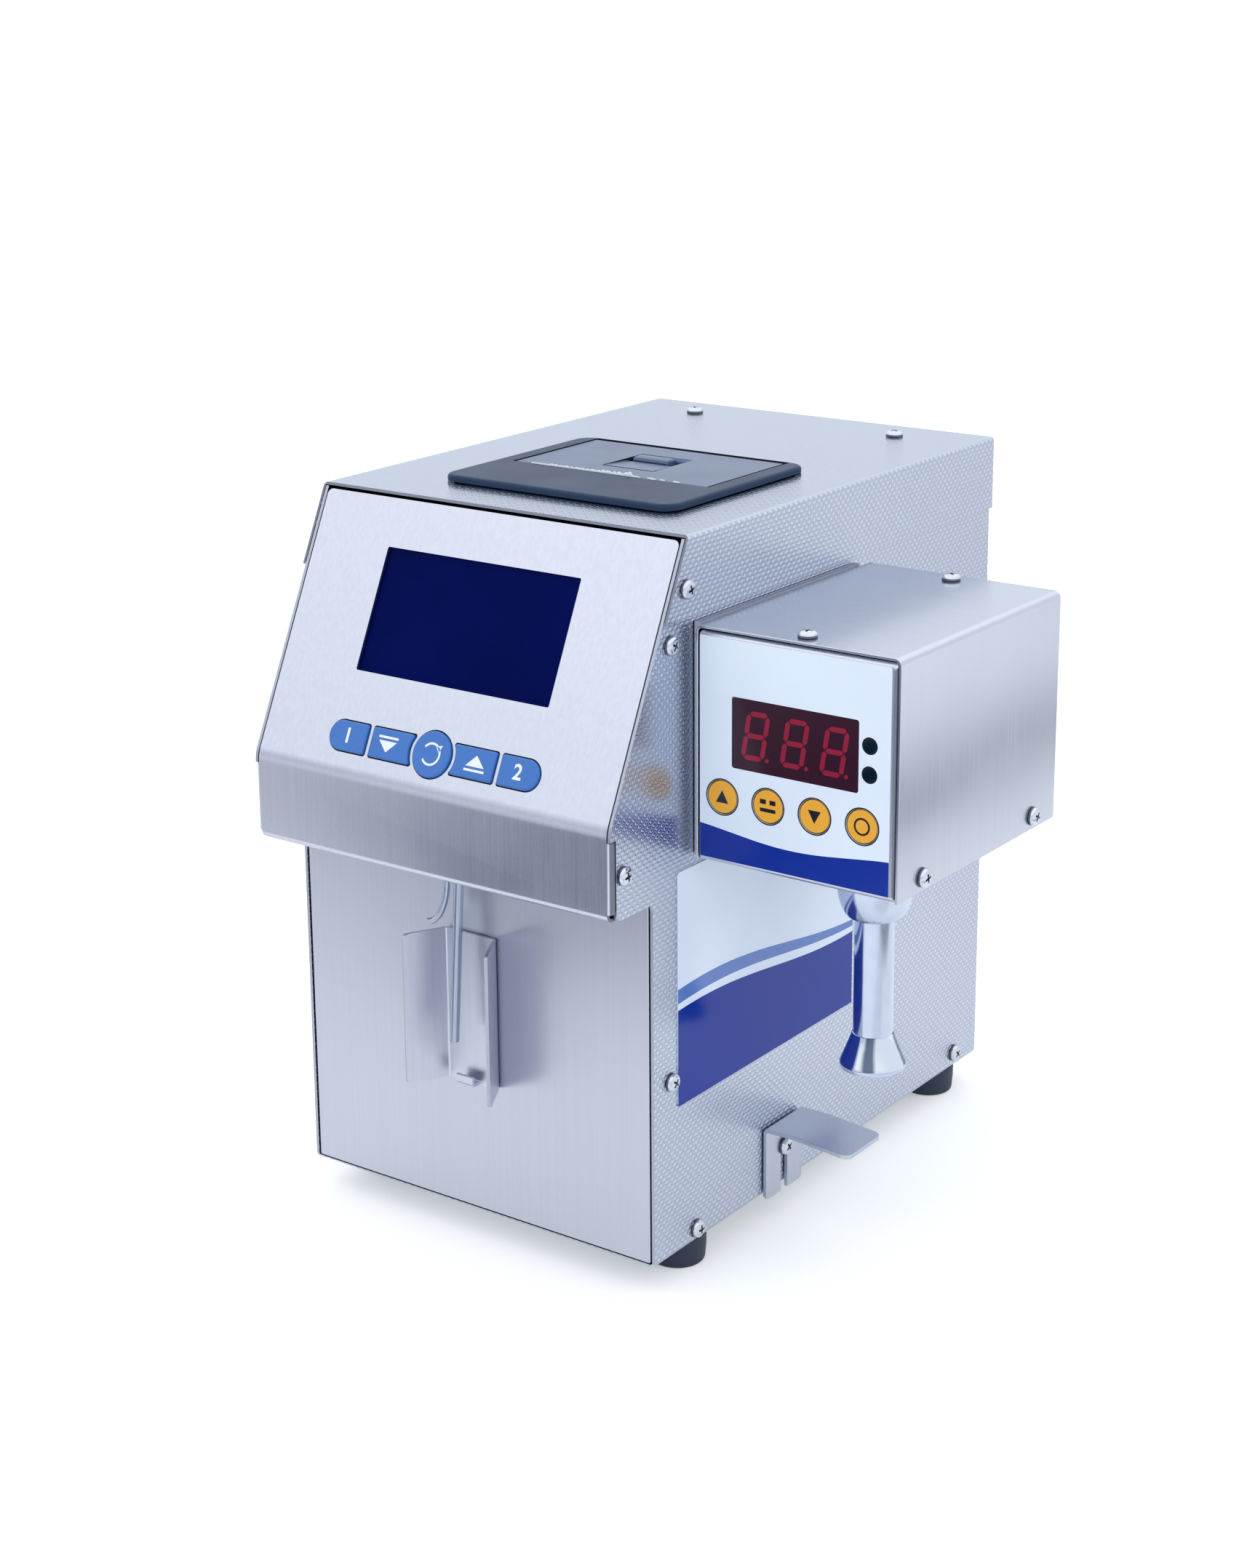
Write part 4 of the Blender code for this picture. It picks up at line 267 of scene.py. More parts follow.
def tube(points, radius, sides, cut=None):
    """A solid round wire along points; a cut is the direction its last face looks in."""
    rings = []
    side = None
    for i, point in enumerate(points):
        ahead = (points[min(i + 1, len(points) - 1)] - points[max(i - 1, 0)]).normalized()
        side = side or ahead.orthogonal()
        side = (side - ahead * side.dot(ahead)).normalized()
        other = ahead.cross(side)
        ring = []
        for k in range(sides):
            t = 2 * math.pi * k / sides
            place = point + (side * math.cos(t) + other * math.sin(t)) * radius
            if cut and i == len(points) - 1:
                facing = Vector(cut).normalized()
                place -= ahead * (place - point).dot(facing) / ahead.dot(facing)
            ring.append(place)
        rings.append(ring)
    return loft(rings)


def moved(shape, matrix):
    bmesh.ops.transform(shape, matrix=matrix, verts=shape.verts)
    return shape


def mesh_of(shape, name):
    """The shape as a mesh with its normals outward; the shape itself is freed."""
    bmesh.ops.recalc_face_normals(shape, faces=shape.faces)
    mesh = bpy.data.meshes.new(name)
    shape.to_mesh(mesh)
    shape.free()
    return mesh


def with_shell(shape, other):
    """The shape with another added as a shell of its own."""
    mesh = mesh_of(other, "shell")
    shape.from_mesh(mesh)
    bpy.data.meshes.remove(mesh)
    return shape


def shaped(shape, *steps):
    """The shape after its steps, each of them an operation and the shapes it takes."""
    operations = {"cut": "DIFFERENCE", "join": "UNION", "keep": "INTERSECT"}
    base = new_object("base", mesh_of(shape, "base"))
    cutters = []
    for operation, *others in steps:
        for other in others:
            cutter = new_object("cutter", mesh_of(other, "cutter"))
            cutters.append(cutter)
            modifier = base.modifiers.new("step", "BOOLEAN")
            modifier.operation = operations[operation]
            modifier.solver = "EXACT"
            modifier.object = cutter
    result = from_object(base)
    for cutter in cutters:
        discard(cutter)
    return cleaned(result, 0.5)


def soften(shape, chosen, width, steps):
    """Rounds the chosen sharp edges of a shape."""
    edges = [
        edge for edge in shape.edges
        if len(edge.link_faces) == 2 and edge.calc_face_angle(0) > math.radians(30)
        and chosen(edge.verts[0].co, edge.verts[1].co)
    ]
    bmesh.ops.bevel(shape, geom=edges, offset=width, segments=steps, profile=0.5, affect="EDGES")
    return shape


def finish_edges(obj, edge):
    """Gives an object's sharp edges a small radius and keeps its flat faces flat."""
    if edge:
        bevel = obj.modifiers.new("Edges", "BEVEL")
        bevel.width = edge * MM
        bevel.segments = 2
        bevel.limit_method = "ANGLE"
        bevel.angle_limit = math.radians(40)
        bevel.harden_normals = False
        bevel.miter_outer = "MITER_ARC"
    normals = obj.modifiers.new("Normals", "WEIGHTED_NORMAL")
    normals.keep_sharp = True
    normals.weight = 80


def piece(
    name, shape, material, node=None, edge=0.0, place=Matrix(), body="casing", angle=35
):
    """Puts a shape into the scene as a piece that rides on a body and may stand for a CAD node."""
    mesh = mesh_of(shape, name)
    mesh.transform(TO_WORLD @ place)
    mesh.materials.append(material)
    mesh.shade_smooth()
    mesh.set_sharp_from_angle(angle=math.radians(angle))
    obj = new_object(name, mesh)
    finish_edges(obj, edge)
    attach(obj, body)
    if node:
        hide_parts(node)
    return obj


def paint(obj, material, chosen):
    """Gives another material to faces, chosen by m, the face's middle, and n, its normal."""
    obj.data.materials.append(material)
    for face in obj.data.polygons:
        if chosen(face.center / MM + SHIFT, face.normal):
            face.material_index = len(obj.data.materials) - 1


def dress(node, material, edge=0.0):
    """Gives a CAD node its material, and its sharp edges a small radius."""
    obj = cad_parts[node]
    obj.data.materials.clear()
    obj.data.materials.append(material)
    if edge:
        finish_edges(obj, edge)


def glyph(text, size):
    """A number's outline as a flat shape centred on the origin."""
    curve = bpy.data.curves.new("glyph", "FONT")
    curve.body = text
    curve.size = size
    curve.align_x = "CENTER"
    curve.align_y = "CENTER"
    curve.offset = 0.02 * size
    curve.extrude = 0.012
    curve.resolution_u = 4
    return from_object(new_object("glyph", curve))


# ---------------------------------------------------------------- materials

TURNED = (0.15, 0.15, 3.0)  # stretches noise into rings about an upright axis
OVAL_PITCH, ROW_PITCH = 2.78, 1.38  # millimetres between embossed ovals, and between their rows


class Wire:
    """What comes out of a node; Python's operators lead it through math nodes."""

    def __init__(self, nodes, socket):
        self.nodes, self.socket = nodes, socket

    def __add__(self, other):
        return self.nodes.math("ADD", self, other)

    def __sub__(self, other):
        return self.nodes.math("SUBTRACT", self, other)

    def __rsub__(self, other):
        return self.nodes.math("SUBTRACT", other, self)

    def __mul__(self, other):
        return self.nodes.math("MULTIPLY", self, other)

    def __truediv__(self, other):
        return self.nodes.math("DIVIDE", self, other)

    def __abs__(self):
        return self.nodes.math("ABSOLUTE", self)


class Nodes:
    """A node tree, built one node at a time; a wire given as an input is linked."""

    def __init__(self, tree):
        self.tree = tree
        self.texture = None

    def add(self, kind, inputs=None, **settings):
        made = self.tree.nodes.new("ShaderNode" + kind)
        for key, value in settings.items():
            setattr(made, key, value)
        for key, value in (inputs or {}).items():
            self.put(made.inputs[key], value)
        return made

    def put(self, socket, value):
        if isinstance(value, Wire):
            self.tree.links.new(value.socket, socket)
        else:
            socket.default_value = value

    def out(self, kind, inputs=None, output=0, **settings):
        return Wire(self, self.add(kind, inputs, **settings).outputs[output])

    def outs(self, kind, outputs, inputs=None):
        made = self.add(kind, inputs)
        return [Wire(self, made.outputs[output]) for output in outputs]

    def coords(self, kind="Object"):
        if not self.texture:
            self.texture = self.add("TexCoord")
        return Wire(self, self.texture.outputs[kind])

    def split(self, vector):
        return self.outs("SeparateXYZ", range(3), {0: vector})

    def math(self, operation, a, b=0.0):
        return self.out("Math", {0: a, 1: b}, operation=operation)

    def most(self, first, *others):
        """The greatest of several values."""
        for other in others:
            first = self.math("MAXIMUM", first, other)
        return first

    def noise(self, scale, detail=2.0, stretch=(1, 1, 1), roughness=0.5):
        """Noise with the given number of features a metre, more of them along stretched axes."""
        inputs = {"Vector": self.coords(), "Scale": [scale * s for s in stretch]}
        vector = self.out("Mapping", inputs)
        inputs = {"Vector": vector, "Scale": 1.0, "Detail": detail, "Roughness": roughness}
        return self.out("TexNoise", inputs, "Fac")

    def span(self, value, low, high, first=0.0, last=1.0, kind="LINEAR"):
        """Goes from first to last while the value goes from low to high, and no further."""
        inputs = {0: value, 1: low, 2: high, 3: first, 4: last}
        return self.out("MapRange", inputs, interpolation_type=kind)

    def slope(self, value, low, high, first, last):
        """A span that starts and ends softly."""
        return self.span(value, low, high, first, last, "SMOOTHSTEP")

    def mix(self, share, a, b):
        return self.out("Mix", {0: share, 6: a, 7: b}, 2, data_type="RGBA")

    def bump(self, height, distance, normal=None):
        inputs = {"Height": height, "Distance": distance}
        if normal:
            inputs["Normal"] = normal
        return self.out("Bump", inputs)


class Paint(Nodes):
    """The node tree of a new material."""

    def __init__(self, name):
        self.material = bpy.data.materials.new(name)
        self.material.use_nodes = True
        super().__init__(self.material.node_tree)

    def finish(self, colour, roughness, normal=None, **others):
        """Gives the shader its values, and returns the material."""
        values = {"Base Color": colour, "Roughness": roughness, **others}
        if normal:
            values["Normal"] = normal
        shader = self.tree.nodes["Principled BSDF"]
        for key, value in values.items():
            self.put(shader.inputs[key.replace("_", " ")], value)
        return self.material


def shade(colour, factor):
    return (*[min(1.0, c * factor) for c in colour], 1.0)


def tinted(nodes, colour, spread, scale, detail=3.0, stretch=(1, 1, 1)):
    """The colour, a little lighter and darker from place to place."""
    share = nodes.span(nodes.noise(scale, detail, stretch), 0.3, 0.7)
    return nodes.mix(share, shade(colour, 1 - spread), shade(colour, 1 + spread))


def uneven(nodes, roughness, scale, spread):
    """The roughness, a little more and less from place to place."""
    return nodes.noise(scale, 3.0) * spread + (roughness - spread / 2)


def brushed_steel(name, colour, roughness, fine=(1, 1, 0.012), wave=0.00022, depth=1.0):
    """Steel with fine lines along the axis of the small stretch, on a sheet not quite flat."""
    nodes = Paint(name)
    lines = nodes.noise(2600, 2.0, fine, 0.6)
    normal = nodes.bump(nodes.noise(11, 1.0), wave)
    normal = nodes.bump(nodes.noise(420, 2.0, fine), 0.0000014 * depth, normal)
    normal = nodes.bump(lines, 0.0000024 * depth, normal)
    return nodes.finish(
        tinted(nodes, colour, 0.03 * depth, 900, 2.0, fine),
        lines * 0.08 + (uneven(nodes, roughness, 24, 0.10) - 0.04), normal, Metallic=1.0,
    )


def embossed_steel(name, colour, roughness):
    """Steel with raised ovals in rows, every other row shifted by half a pitch."""
    nodes = Paint(name)
    x, y, z = nodes.split(nodes.coords())
    facing = nodes.split(nodes.coords("Normal"))
    faces_y, faces_z = (nodes.math("GREATER_THAN", abs(facing[k]), 0.7) for k in (1, 2))

    def either(share, a, b):
        return (1.0 - share) * a + share * b

    along = (nodes.noise(60, 1.0) * 0.0001 + either(faces_y, y, x)) / (OVAL_PITCH * MM)
    row = either(faces_z, z, x) / (ROW_PITCH * MM)
    odd = nodes.math("FLOORED_MODULO", nodes.math("FLOOR", row), 2.0)
    along = abs(nodes.math("FRACT", along + odd * 0.5) - 0.5)
    up = abs(nodes.math("FRACT", row) - 0.5)

    def bead(sideways, half_width, half_height):
        """One raised bead a cell, with soft sides; sizes are in millimetres."""
        wide = sideways * (OVAL_PITCH / half_width)
        high = up * (ROW_PITCH / half_height)
        far = nodes.math("SQRT", wide * wide + high * high)
        return nodes.slope(far, 0.65, 1.15, 1.0, 0.0)

    oval = nodes.most(bead(along, 0.88, 0.58), bead(0.5 - along, 0.22, 0.5) * 0.45)
    # Level faces are viewed at a low angle, where the same dents and the beads' painted highlight
    # would show far more
    level, dents, smooth = (faces_z * -less + 1.0 for less in (0.8, 0.7, 0.95))
    normal = nodes.bump(nodes.noise(9, 1.0) * level, 0.0003)
    normal = nodes.bump(oval * dents, 0.00013, normal)
    normal = nodes.bump(nodes.noise(2400) * smooth, 0.000004, normal)
    # The beads are painted lighter and the ground between them darker, a painted highlight and
    # shade
    return nodes.finish(
        nodes.mix(oval * level, shade(colour, 0.86), shade(colour, 1.10)),
        faces_z * -0.12 + uneven(nodes, roughness, 30, 0.10), normal, Metallic=1.0,
    )


def polished(name, colour, roughness, stretch=(1, 1, 1), depth=0.000004):
    """Bright metal with fine scratches, or with faint turning rings."""
    nodes = Paint(name)
    return nodes.finish(
        tinted(nodes, colour, 0.03, 260), uneven(nodes, roughness, 160, 0.08),
        nodes.bump(nodes.noise(1100, 3.0, stretch), depth), Metallic=1.0,
    )


def painted_reflection_streaks(name, colour, dark, roughness, axis, first):
    """Turned metal with four darker streaks about an upright axis, the first at a given angle; the
    streaks are a painted reflection.
    """
    nodes = Paint(name)
    x, y, _ = nodes.split(nodes.coords())
    angle = nodes.math("ARCTAN2", y - axis[1], x - axis[0]) - math.radians(first)
    angle = nodes.noise(140) * 0.25 + angle
    share = nodes.span(nodes.math("COSINE", angle * 4.0), 0.45, 0.85)
    return nodes.finish(
        nodes.mix(share, (*colour, 1.0), (*dark, 1.0)), roughness,
        nodes.bump(nodes.noise(1100, 3.0, TURNED), 0.000002), Metallic=1.0,
    )


def moulded(name, colour, roughness, grain=2200, depth=0.00002, spread=0.06, gloss=0.5):
    """Moulded plastic or rubber with a fine grain and a slightly uneven gloss."""
    nodes = Paint(name)
    return nodes.finish(
        tinted(nodes, colour, spread, 55), uneven(nodes, roughness, 70, 0.12),
        nodes.bump(nodes.noise(grain, 3.0), depth), Specular_IOR_Level=gloss,
    )


def printed(name, colour, roughness=0.16, gloss=0.5, spread=0.02):
    """Printed film under a clear coat, with a faint ripple where it is stuck down."""
    nodes = Paint(name)
    ripple = nodes.bump(nodes.noise(30), 0.00012)
    return nodes.finish(
        tinted(nodes, colour, spread, 40),
        nodes.span(nodes.noise(45), 0.3, 0.7, roughness - 0.03, roughness + 0.05),
        nodes.bump(nodes.noise(1500), 0.000002, ripple), Specular_IOR_Level=gloss,
    )


def paper(name):
    nodes = Paint(name)
    fibre = nodes.bump(nodes.noise(1800, 4.0, (1, 3, 1)), 0.00002)
    return nodes.finish(
        tinted(nodes, (0.90, 0.93, 0.98), 0.02, 900, 4.0), 0.85, fibre, Specular_IOR_Level=0.2
    )


def circuit(name):
    """Green board with a darker pattern of tracks under the lacquer."""
    nodes = Paint(name)
    inputs = {"Vector": nodes.coords(), "Scale": 260.0}
    cells = nodes.out("TexVoronoi", inputs, "Distance", distance="CHEBYCHEV")
    track = nodes.span(cells, 0.25, 0.32)
    return nodes.finish(
        nodes.mix(track, (0.012, 0.11, 0.045, 1), (0.02, 0.17, 0.07, 1)), 0.35,
        nodes.bump(track, 0.00002), Coat_Weight=0.4,
    )


STEEL = brushed_steel("brushed_steel_upright", (0.585, 0.61, 0.70), 0.27)
HOOD_STEEL = brushed_steel(
    "brushed_steel_along", (0.60, 0.63, 0.715), 0.18, (0.012, 1, 0.012), 0.0004, 0.6
)
PANEL_STEEL = brushed_steel("panel_steel", (0.55, 0.575, 0.66), 0.34, depth=0.55)
BRACKET_STEEL = brushed_steel("bracket_steel", (0.59, 0.62, 0.71), 0.34, (1, 1, 0.05), 0.0001)
SHELF_STEEL = brushed_steel("shelf_steel", (0.53, 0.56, 0.65), 0.30, (1, 1, 0.05), 0.0001)
EMBOSSED = embossed_steel("embossed_steel", (0.56, 0.61, 0.72), 0.27)
# Painted shade: dark steel for undersides, gaps and bends where shade falls
PAINTED_SHADE_STEEL = polished("painted_shade_steel", (0.20, 0.22, 0.27), 0.40)
PALE_EDGE = polished("pale_edge_steel", (0.42, 0.45, 0.53), 0.38)
CHROME = polished("screw_chrome", (0.64, 0.67, 0.74), 0.12)
# Painted shade for the sides and crosses of screw heads
SCREW_PAINTED_SHADE = polished("screw_painted_shade", (0.15, 0.17, 0.21), 0.30)
PIPE = polished("pipe_steel", (0.38, 0.43, 0.54), 0.26, depth=0.0000008)
ALUMINIUM = polished("turned_aluminium", (0.56, 0.62, 0.75), 0.13, TURNED)
# Painted reflection: dark streaks on the flare's turned aluminium
FLARE_PAINTED_STREAKS = painted_reflection_streaks(
    "flare_aluminium_painted_reflection", (0.70, 0.75, 0.83), (0.13, 0.17, 0.25), 0.09, (0.0678, -0.0271), -60
)
DULL_METAL = polished("dull_metal", (0.50, 0.52, 0.56), 0.35)
SLATE = moulded("slate_plastic", (0.026, 0.048, 0.098), 0.32, 2600, 0.000006, gloss=0.06)
SLATE_LID = moulded("slate_plastic_lid", (0.074, 0.116, 0.224), 0.28, 2600, 0.0000003, gloss=0.35)
# Painted shade: near-black slate for the printer's insides, its gaps and its recess walls
SLATE_PAINTED_SHADE = moulded("slate_plastic_painted_shade", (0.008, 0.012, 0.026), 0.6, gloss=0.2)
BLACK = moulded("black_plastic", (0.012, 0.013, 0.018), 0.35)
RUBBER = moulded("foot_rubber", (0.014, 0.024, 0.052), 0.55, 1500, 0.00004)
BLUE = moulded("blue_key_plastic", (0.032, 0.150, 0.49), 0.30, 3000, 0.000004, 0.03)
YELLOW = moulded("yellow_key_film", (0.83, 0.40, 0.035), 0.22, 3000, 0.000003, 0.03)
GLASS = printed("display_glass", (0.0, 0.003, 0.070), 0.14, 0.02, 0.12)
FILM = printed("label_film", (0.76, 0.84, 0.97))
FILM_NAVY = printed("label_navy", (0.004, 0.028, 0.30), 0.16, 0.25)
FILM_LIGHT = printed("label_blue", (0.10, 0.20, 0.55))
INK = printed("ink", (0.008, 0.009, 0.016))
INK_WHITE = moulded("key_white", (0.80, 0.84, 0.90), 0.4, 3000, 0.000002, 0.02)
RED_WINDOW = printed("red_window", (0.034, 0.008, 0.020), 0.12, 0.4)
SEGMENT = printed("dim_segment", (0.28, 0.012, 0.04), 0.15, 0.4)
LAMP_LENS = printed("dark_lamp_lens", (0.002, 0.010, 0.018), 0.10, 0.5)
PAPER = paper("receipt_paper")
CIRCUIT = circuit("circuit_board")
CERAMIC = moulded("ceramic", (0.66, 0.62, 0.54), 0.5)


# ------------------------------------------------------------------- casing

WALL_X = 66.9  # outer face of the side walls
COVER_X = 68.0  # outer face of the top cover's sides
HEAD_X = 65.5  # side edges of the sloping sheet
SHELL_LOW, SHELL_REAR = 9.6, 214.6
COVER_LOW, COVER_TOP = 205.5, 229.3
HEAD_LOW = 124.4  # underside of the band and of the lip behind it
SLOPE_LENGTH = 84.35
KEY_GAP = 0.38
INTAKE, RINSE = (0, 15.2), (-4.6, 14.6)  # where the pipes pass through the lip, in plan
PRINTER_X, SERIAL_X, STIRRER_X, LAMP_X = 4.5, -26, 103.15, 127.1  # middles
STIRRER_LOW = 133.6
HOOD_LEFT, HOOD_RIGHT, HOOD_TOP = 69.6, 136.7, 203.7
CASE_LEFT, CASE_RIGHT, CASE_TOP = 70.7, 135.3, 202.3
CASE_FRONT, CASE_REAR = 38.3, 129.9
OVERLAY_Y = 38.0  # front of the stirrer's printed sheet


def behind_slope(z):
    """How far back the slope's outer face lies at a height."""
    return (z - KNEE) * math.tan(LEAN)


def wall_outline():
    """The side wall in side view: its slope, its step for the band, its corner behind the head."""
    top = 228.2
    corners = [
        (20.2, SHELL_LOW), (SHELL_REAR, SHELL_LOW), (SHELL_REAR, top), (behind_slope(top), top),
        (0, KNEE), (0, 148.6), (2.6, 148.6), (2.6, HEAD_LOW), (20.2, HEAD_LOW),
    ]
    return rounded(corners, [1.2, 1.2, 1.2, 0, 11, 0, 0, 2, 2])


def build_shell():
    """The floor and both side walls, folded from one sheet."""
    line = [(-WALL_X, 230), (-WALL_X, SHELL_LOW), (WALL_X, SHELL_LOW), (WALL_X, 230)]
    folded = from_front([bent_sheet(line, 1.0, [0, 1.8, 1.8, 0])], -5, 220)
    shape = shaped(folded, ("keep", from_side([wall_outline()], -70, 70)))
    shell = piece("shell_sheet", shape, EMBOSSED, "body_shell", 0.16)
    paint(shell, PALE_EDGE, lambda m, n: m.z > 11.5 and abs(n.x) < 0.3)


def build_cover():
    """The top cover: a box open below and at the slope, with the printer's opening."""
    outline = [
        (behind_slope(COVER_LOW), COVER_LOW), (215.7, COVER_LOW), (215.7, COVER_TOP),
        (37.0, COVER_TOP),
    ]
    solid = from_side([rounded(outline, [0, 0, 1.4, 0])], -COVER_X, COVER_X)

    def is_bend(a, b):
        at_side = min(abs(a.x), abs(b.x)) > COVER_X - 0.1 and a.x * b.x > 0
        along_bottom = max(a.z, b.z) < COVER_LOW + 0.1
        along_slope = min(a.y, b.y) < 37.1 and max(a.y, b.y) < 40
        return at_side and not along_bottom and not along_slope

    def is_front_edge(middle, normal):
        return normal.y < -0.5 and middle.y < 40

    solid = soften(solid, is_bend, 1.4, 5)
    inside = block((-67.2, -5, 200), (67.2, 214.9, 228.5))
    opening = slab([rectangle(-34.9, 43.9, 58.6, 130.4, 2)], 225, 232)
    shape = shaped(solid, ("cut", inside, opening))
    cover = piece("cover_sheet", shape, EMBOSSED, "top_cover", 0.14)
    # Painted shade on the cover's undersides and along its front edge at the top of the slope; that
    # edge's ends at the sides get pale edge steel
    paint(cover, PAINTED_SHADE_STEEL, lambda m, n: n.z < -0.5 or is_front_edge(m, n))
    paint(cover, PALE_EDGE, lambda m, n: is_front_edge(m, n) and abs(m.x) > 67)


ROW = SLOPE @ at(-0.5, 11.0, 0)
KEYS = ("key_enter", "key_down", "key_up", "key_left_end", "key_right_end")


def key_outline(name, grow=0.0, steps=6):
    """A key of the slope's row, about the row's middle; grow makes its hole."""
    if name == "key_enter":
        return circle(0, 0, 7 + grow, 72)
    half = 4.6 + grow
    if name in ("key_down", "key_up"):
        reach = 8.6 - grow
        end = 23.3 + grow
        angle = math.degrees(math.asin(half / reach))
        tips = arc(0, 0, reach, angle, -angle, 1)
        hollow = arc(0, 0, reach, angle - 13, 13 - angle, 12)
        points = [(end, -half), (end, half), tips[0], *hollow, tips[1]]
        points = rounded(points, [0.9, 0.9, 0.8] + [0] * len(hollow) + [0.8], steps)
    else:
        ends = [0.9, half - 0.01, half - 0.01, 0.9]
        points = rectangle(25.1 - grow, 39.4 + grow, -half, half, ends, 12)
    if name in ("key_down", "key_left_end"):
        points = [(-x, y) for x, y in reversed(points)]
    return points


def build_head():
    """The slope, the band below it and the lip under that, bent from one sheet, with its holes."""
    top = (ALONG.x * SLOPE_LENGTH, KNEE + ALONG.y * SLOPE_LENGTH)
    line = [top, (0, KNEE), (0, HEAD_LOW), (19.9, HEAD_LOW)]
    main = from_side([bent_sheet(line, 1.0, [0, 11.0, 2.4, 0], 20)], -HEAD_X, HEAD_X)
    line = [(-WALL_X, 2.0), (-WALL_X, 0), (WALL_X, 0), (WALL_X, 2.0)]
    wrap = slab([bent_sheet(line, 1.0, [0, 1.4, 1.4, 0], 8)], 127.1, 148.3)
    plan = slab([rectangle(-HEAD_X, HEAD_X, 0, SLOPE_LENGTH, [0, 0, 1.8, 1.8])], -60, 3)
    below = block((-70, -1, 100), (70, 30, 155))
    envelope = shaped(moved(plan, SLOPE), ("join", below))
    holes = [moved(slab([rectangle(-36.7, 35.7, 31.05, 69.35, 0.6)], -3, 3), SLOPE)]
    holes += [moved(slab([key_outline(name, KEY_GAP)], -3, 3), ROW) for name in KEYS]
    for (x, y), radius in ((INTAKE, 1.85), (RINSE, 1.3)):
        holes.append(slab([circle(x, y, radius, 32)], 120, 130))
    shape = shaped(main, ("join", wrap), ("keep", envelope), ("cut", *holes))
    head = piece("head_sheet", shape, STEEL, "head_panel", 0.3)
    # Painted shade on the side flanges of the band, for the dark line at their bends
    paint(head, PAINTED_SHADE_STEEL, lambda m, n: abs(n.x) > 0.55 and 0.25 < m.y < 3 and m.z < 151)


def build_keys():
    """The five keys of the slope and their white marks, each mark riding with its key."""
    for name in KEYS:
        cap = pillow(key_outline(name, 0, 8), rim(0.62, 0.9, -3.2))
        piece(name + "_cap", cap, BLUE, name, place=ROW, body=name, angle=50)
    ring = arc(0, 0, 3.5, 215, 505, 28) + arc(0, 0, 2.85, 505, 215, 28)
    marks = []
    for name, x, *outlines in (
        ("key_down", -16.6, [(-3.4, 1), (0, -2.4), (3.4, 1)], rectangle(-3.7, 3.7, 1.75, 2.45)),
        ("key_up", 16.6, [(-3.4, -1), (3.4, -1), (0, 2.4)], rectangle(-3.7, 3.7, -2.45, -1.75)),
        ("key_enter", 0, ring, [(1.3, 2.5), (3.6, 3.1), (2.7, 0.7)]),
    ):
        marks.append((name, x, slab(outlines, 0.885, 0.915)))
    for name, x, text in (("key_left_end", -32.0, "1"), ("key_right_end", 32.0, "2")):
        marks.append((name, x, moved(glyph(text, 6.4), at(0, 0, 0.9))))
    for name, x, shape in marks:
        piece(name + "_mark", shape, INK_WHITE, place=ROW @ at(x, 0, 0), body=name)


def bored(line, ahead, radius, sides, cut, bore, bore_sides, depth):
    """A pipe along a line, bored from its free end, whose face looks in the cut's direction."""
    drill = tube([line[-1] - ahead * depth, line[-1] + ahead * 2], bore, bore_sides)
    return shaped(tube(line, radius, sides, cut), ("cut", drill))


def build_pipes():
    """The straight intake pipe and the bent rinse pipe, with a grommet round each."""
    line = [Vector((0, 16.1, 138)).lerp(Vector((0, 10.7, 69.5)), k / 8) for k in range(9)]
    ahead = (line[-1] - line[0]).normalized()
    shape = bored(line, ahead, 1.5, 32, (0, 0, -1), 0.95, 24, 6)
    piece("intake_tube", shape, PIPE, "intake_pipe", 0.12)
    x, y = RINSE
    bend = 118.95
    line = [Vector((x, y, z)) for z in (134, 126, bend)]
    for k in range(1, 15):
        t = math.pi / 2 * k / 14
        share = 1 - math.cos(t)
        line.append(Vector((x - 4.2 * share, y - 3.5 * share, bend - 12.95 * math.sin(t))))
    ahead = (line[-1] - line[-2]).normalized()
    shape = bored(line, ahead, 1.0, 24, (-0.6, -0.5, -0.65), 0.6, 20, 4)
    piece("rinse_tube", shape, PIPE, "rinse_pipe", 0.08)
    for name, (x, y), hole, rim_radius in (
        ("intake_grommet", INTAKE, 1.62, 2.75), ("rinse_grommet", RINSE, 1.08, 1.9),
    ):
        profile = [(hole, 0.9), (hole, 0.2), (hole + 0.25, 0)]
        profile += [(rim_radius - 0.5, 0), (rim_radius, 0.35), (rim_radius, 0.9)]
        piece(name, lathe(profile, 40), BLACK, place=at(x, y, 123.5))


def build_bracket():
    """The bent plate that holds the cup in front of the lower panel, with its hook."""
    low, high = 53.0, 101.5
    line = [(16.5, 6.9), (9.6, 19.9), (-9.6, 19.9), (-16.5, 6.9)]
    plate = slab([bent_sheet(line, 1.0, [0, 1.8, 1.8, 0])], low, high)
    profile = rectangle(6.2, 20.5, low, high, [2.4, 0, 0, 2.4], 8)
    line = [(15.4, 56.2), (15.4, low), (19.9, low), (19.9, 56.2)]
    hook = from_side([bent_sheet(line, 1.0, [0, 1.6, 1.6, 0])], -3.75, 2.75)
    shape = shaped(shaped(plate, ("keep", from_side([profile], -20, 20))), ("join", hook))
    holder = piece("cup_holder", shape, BRACKET_STEEL, "cup_bracket", 0.16)
    paint(holder, PALE_EDGE, lambda m, n: abs(n.z) > 0.4 or (m.y < 9.5 and n.y < -0.75))


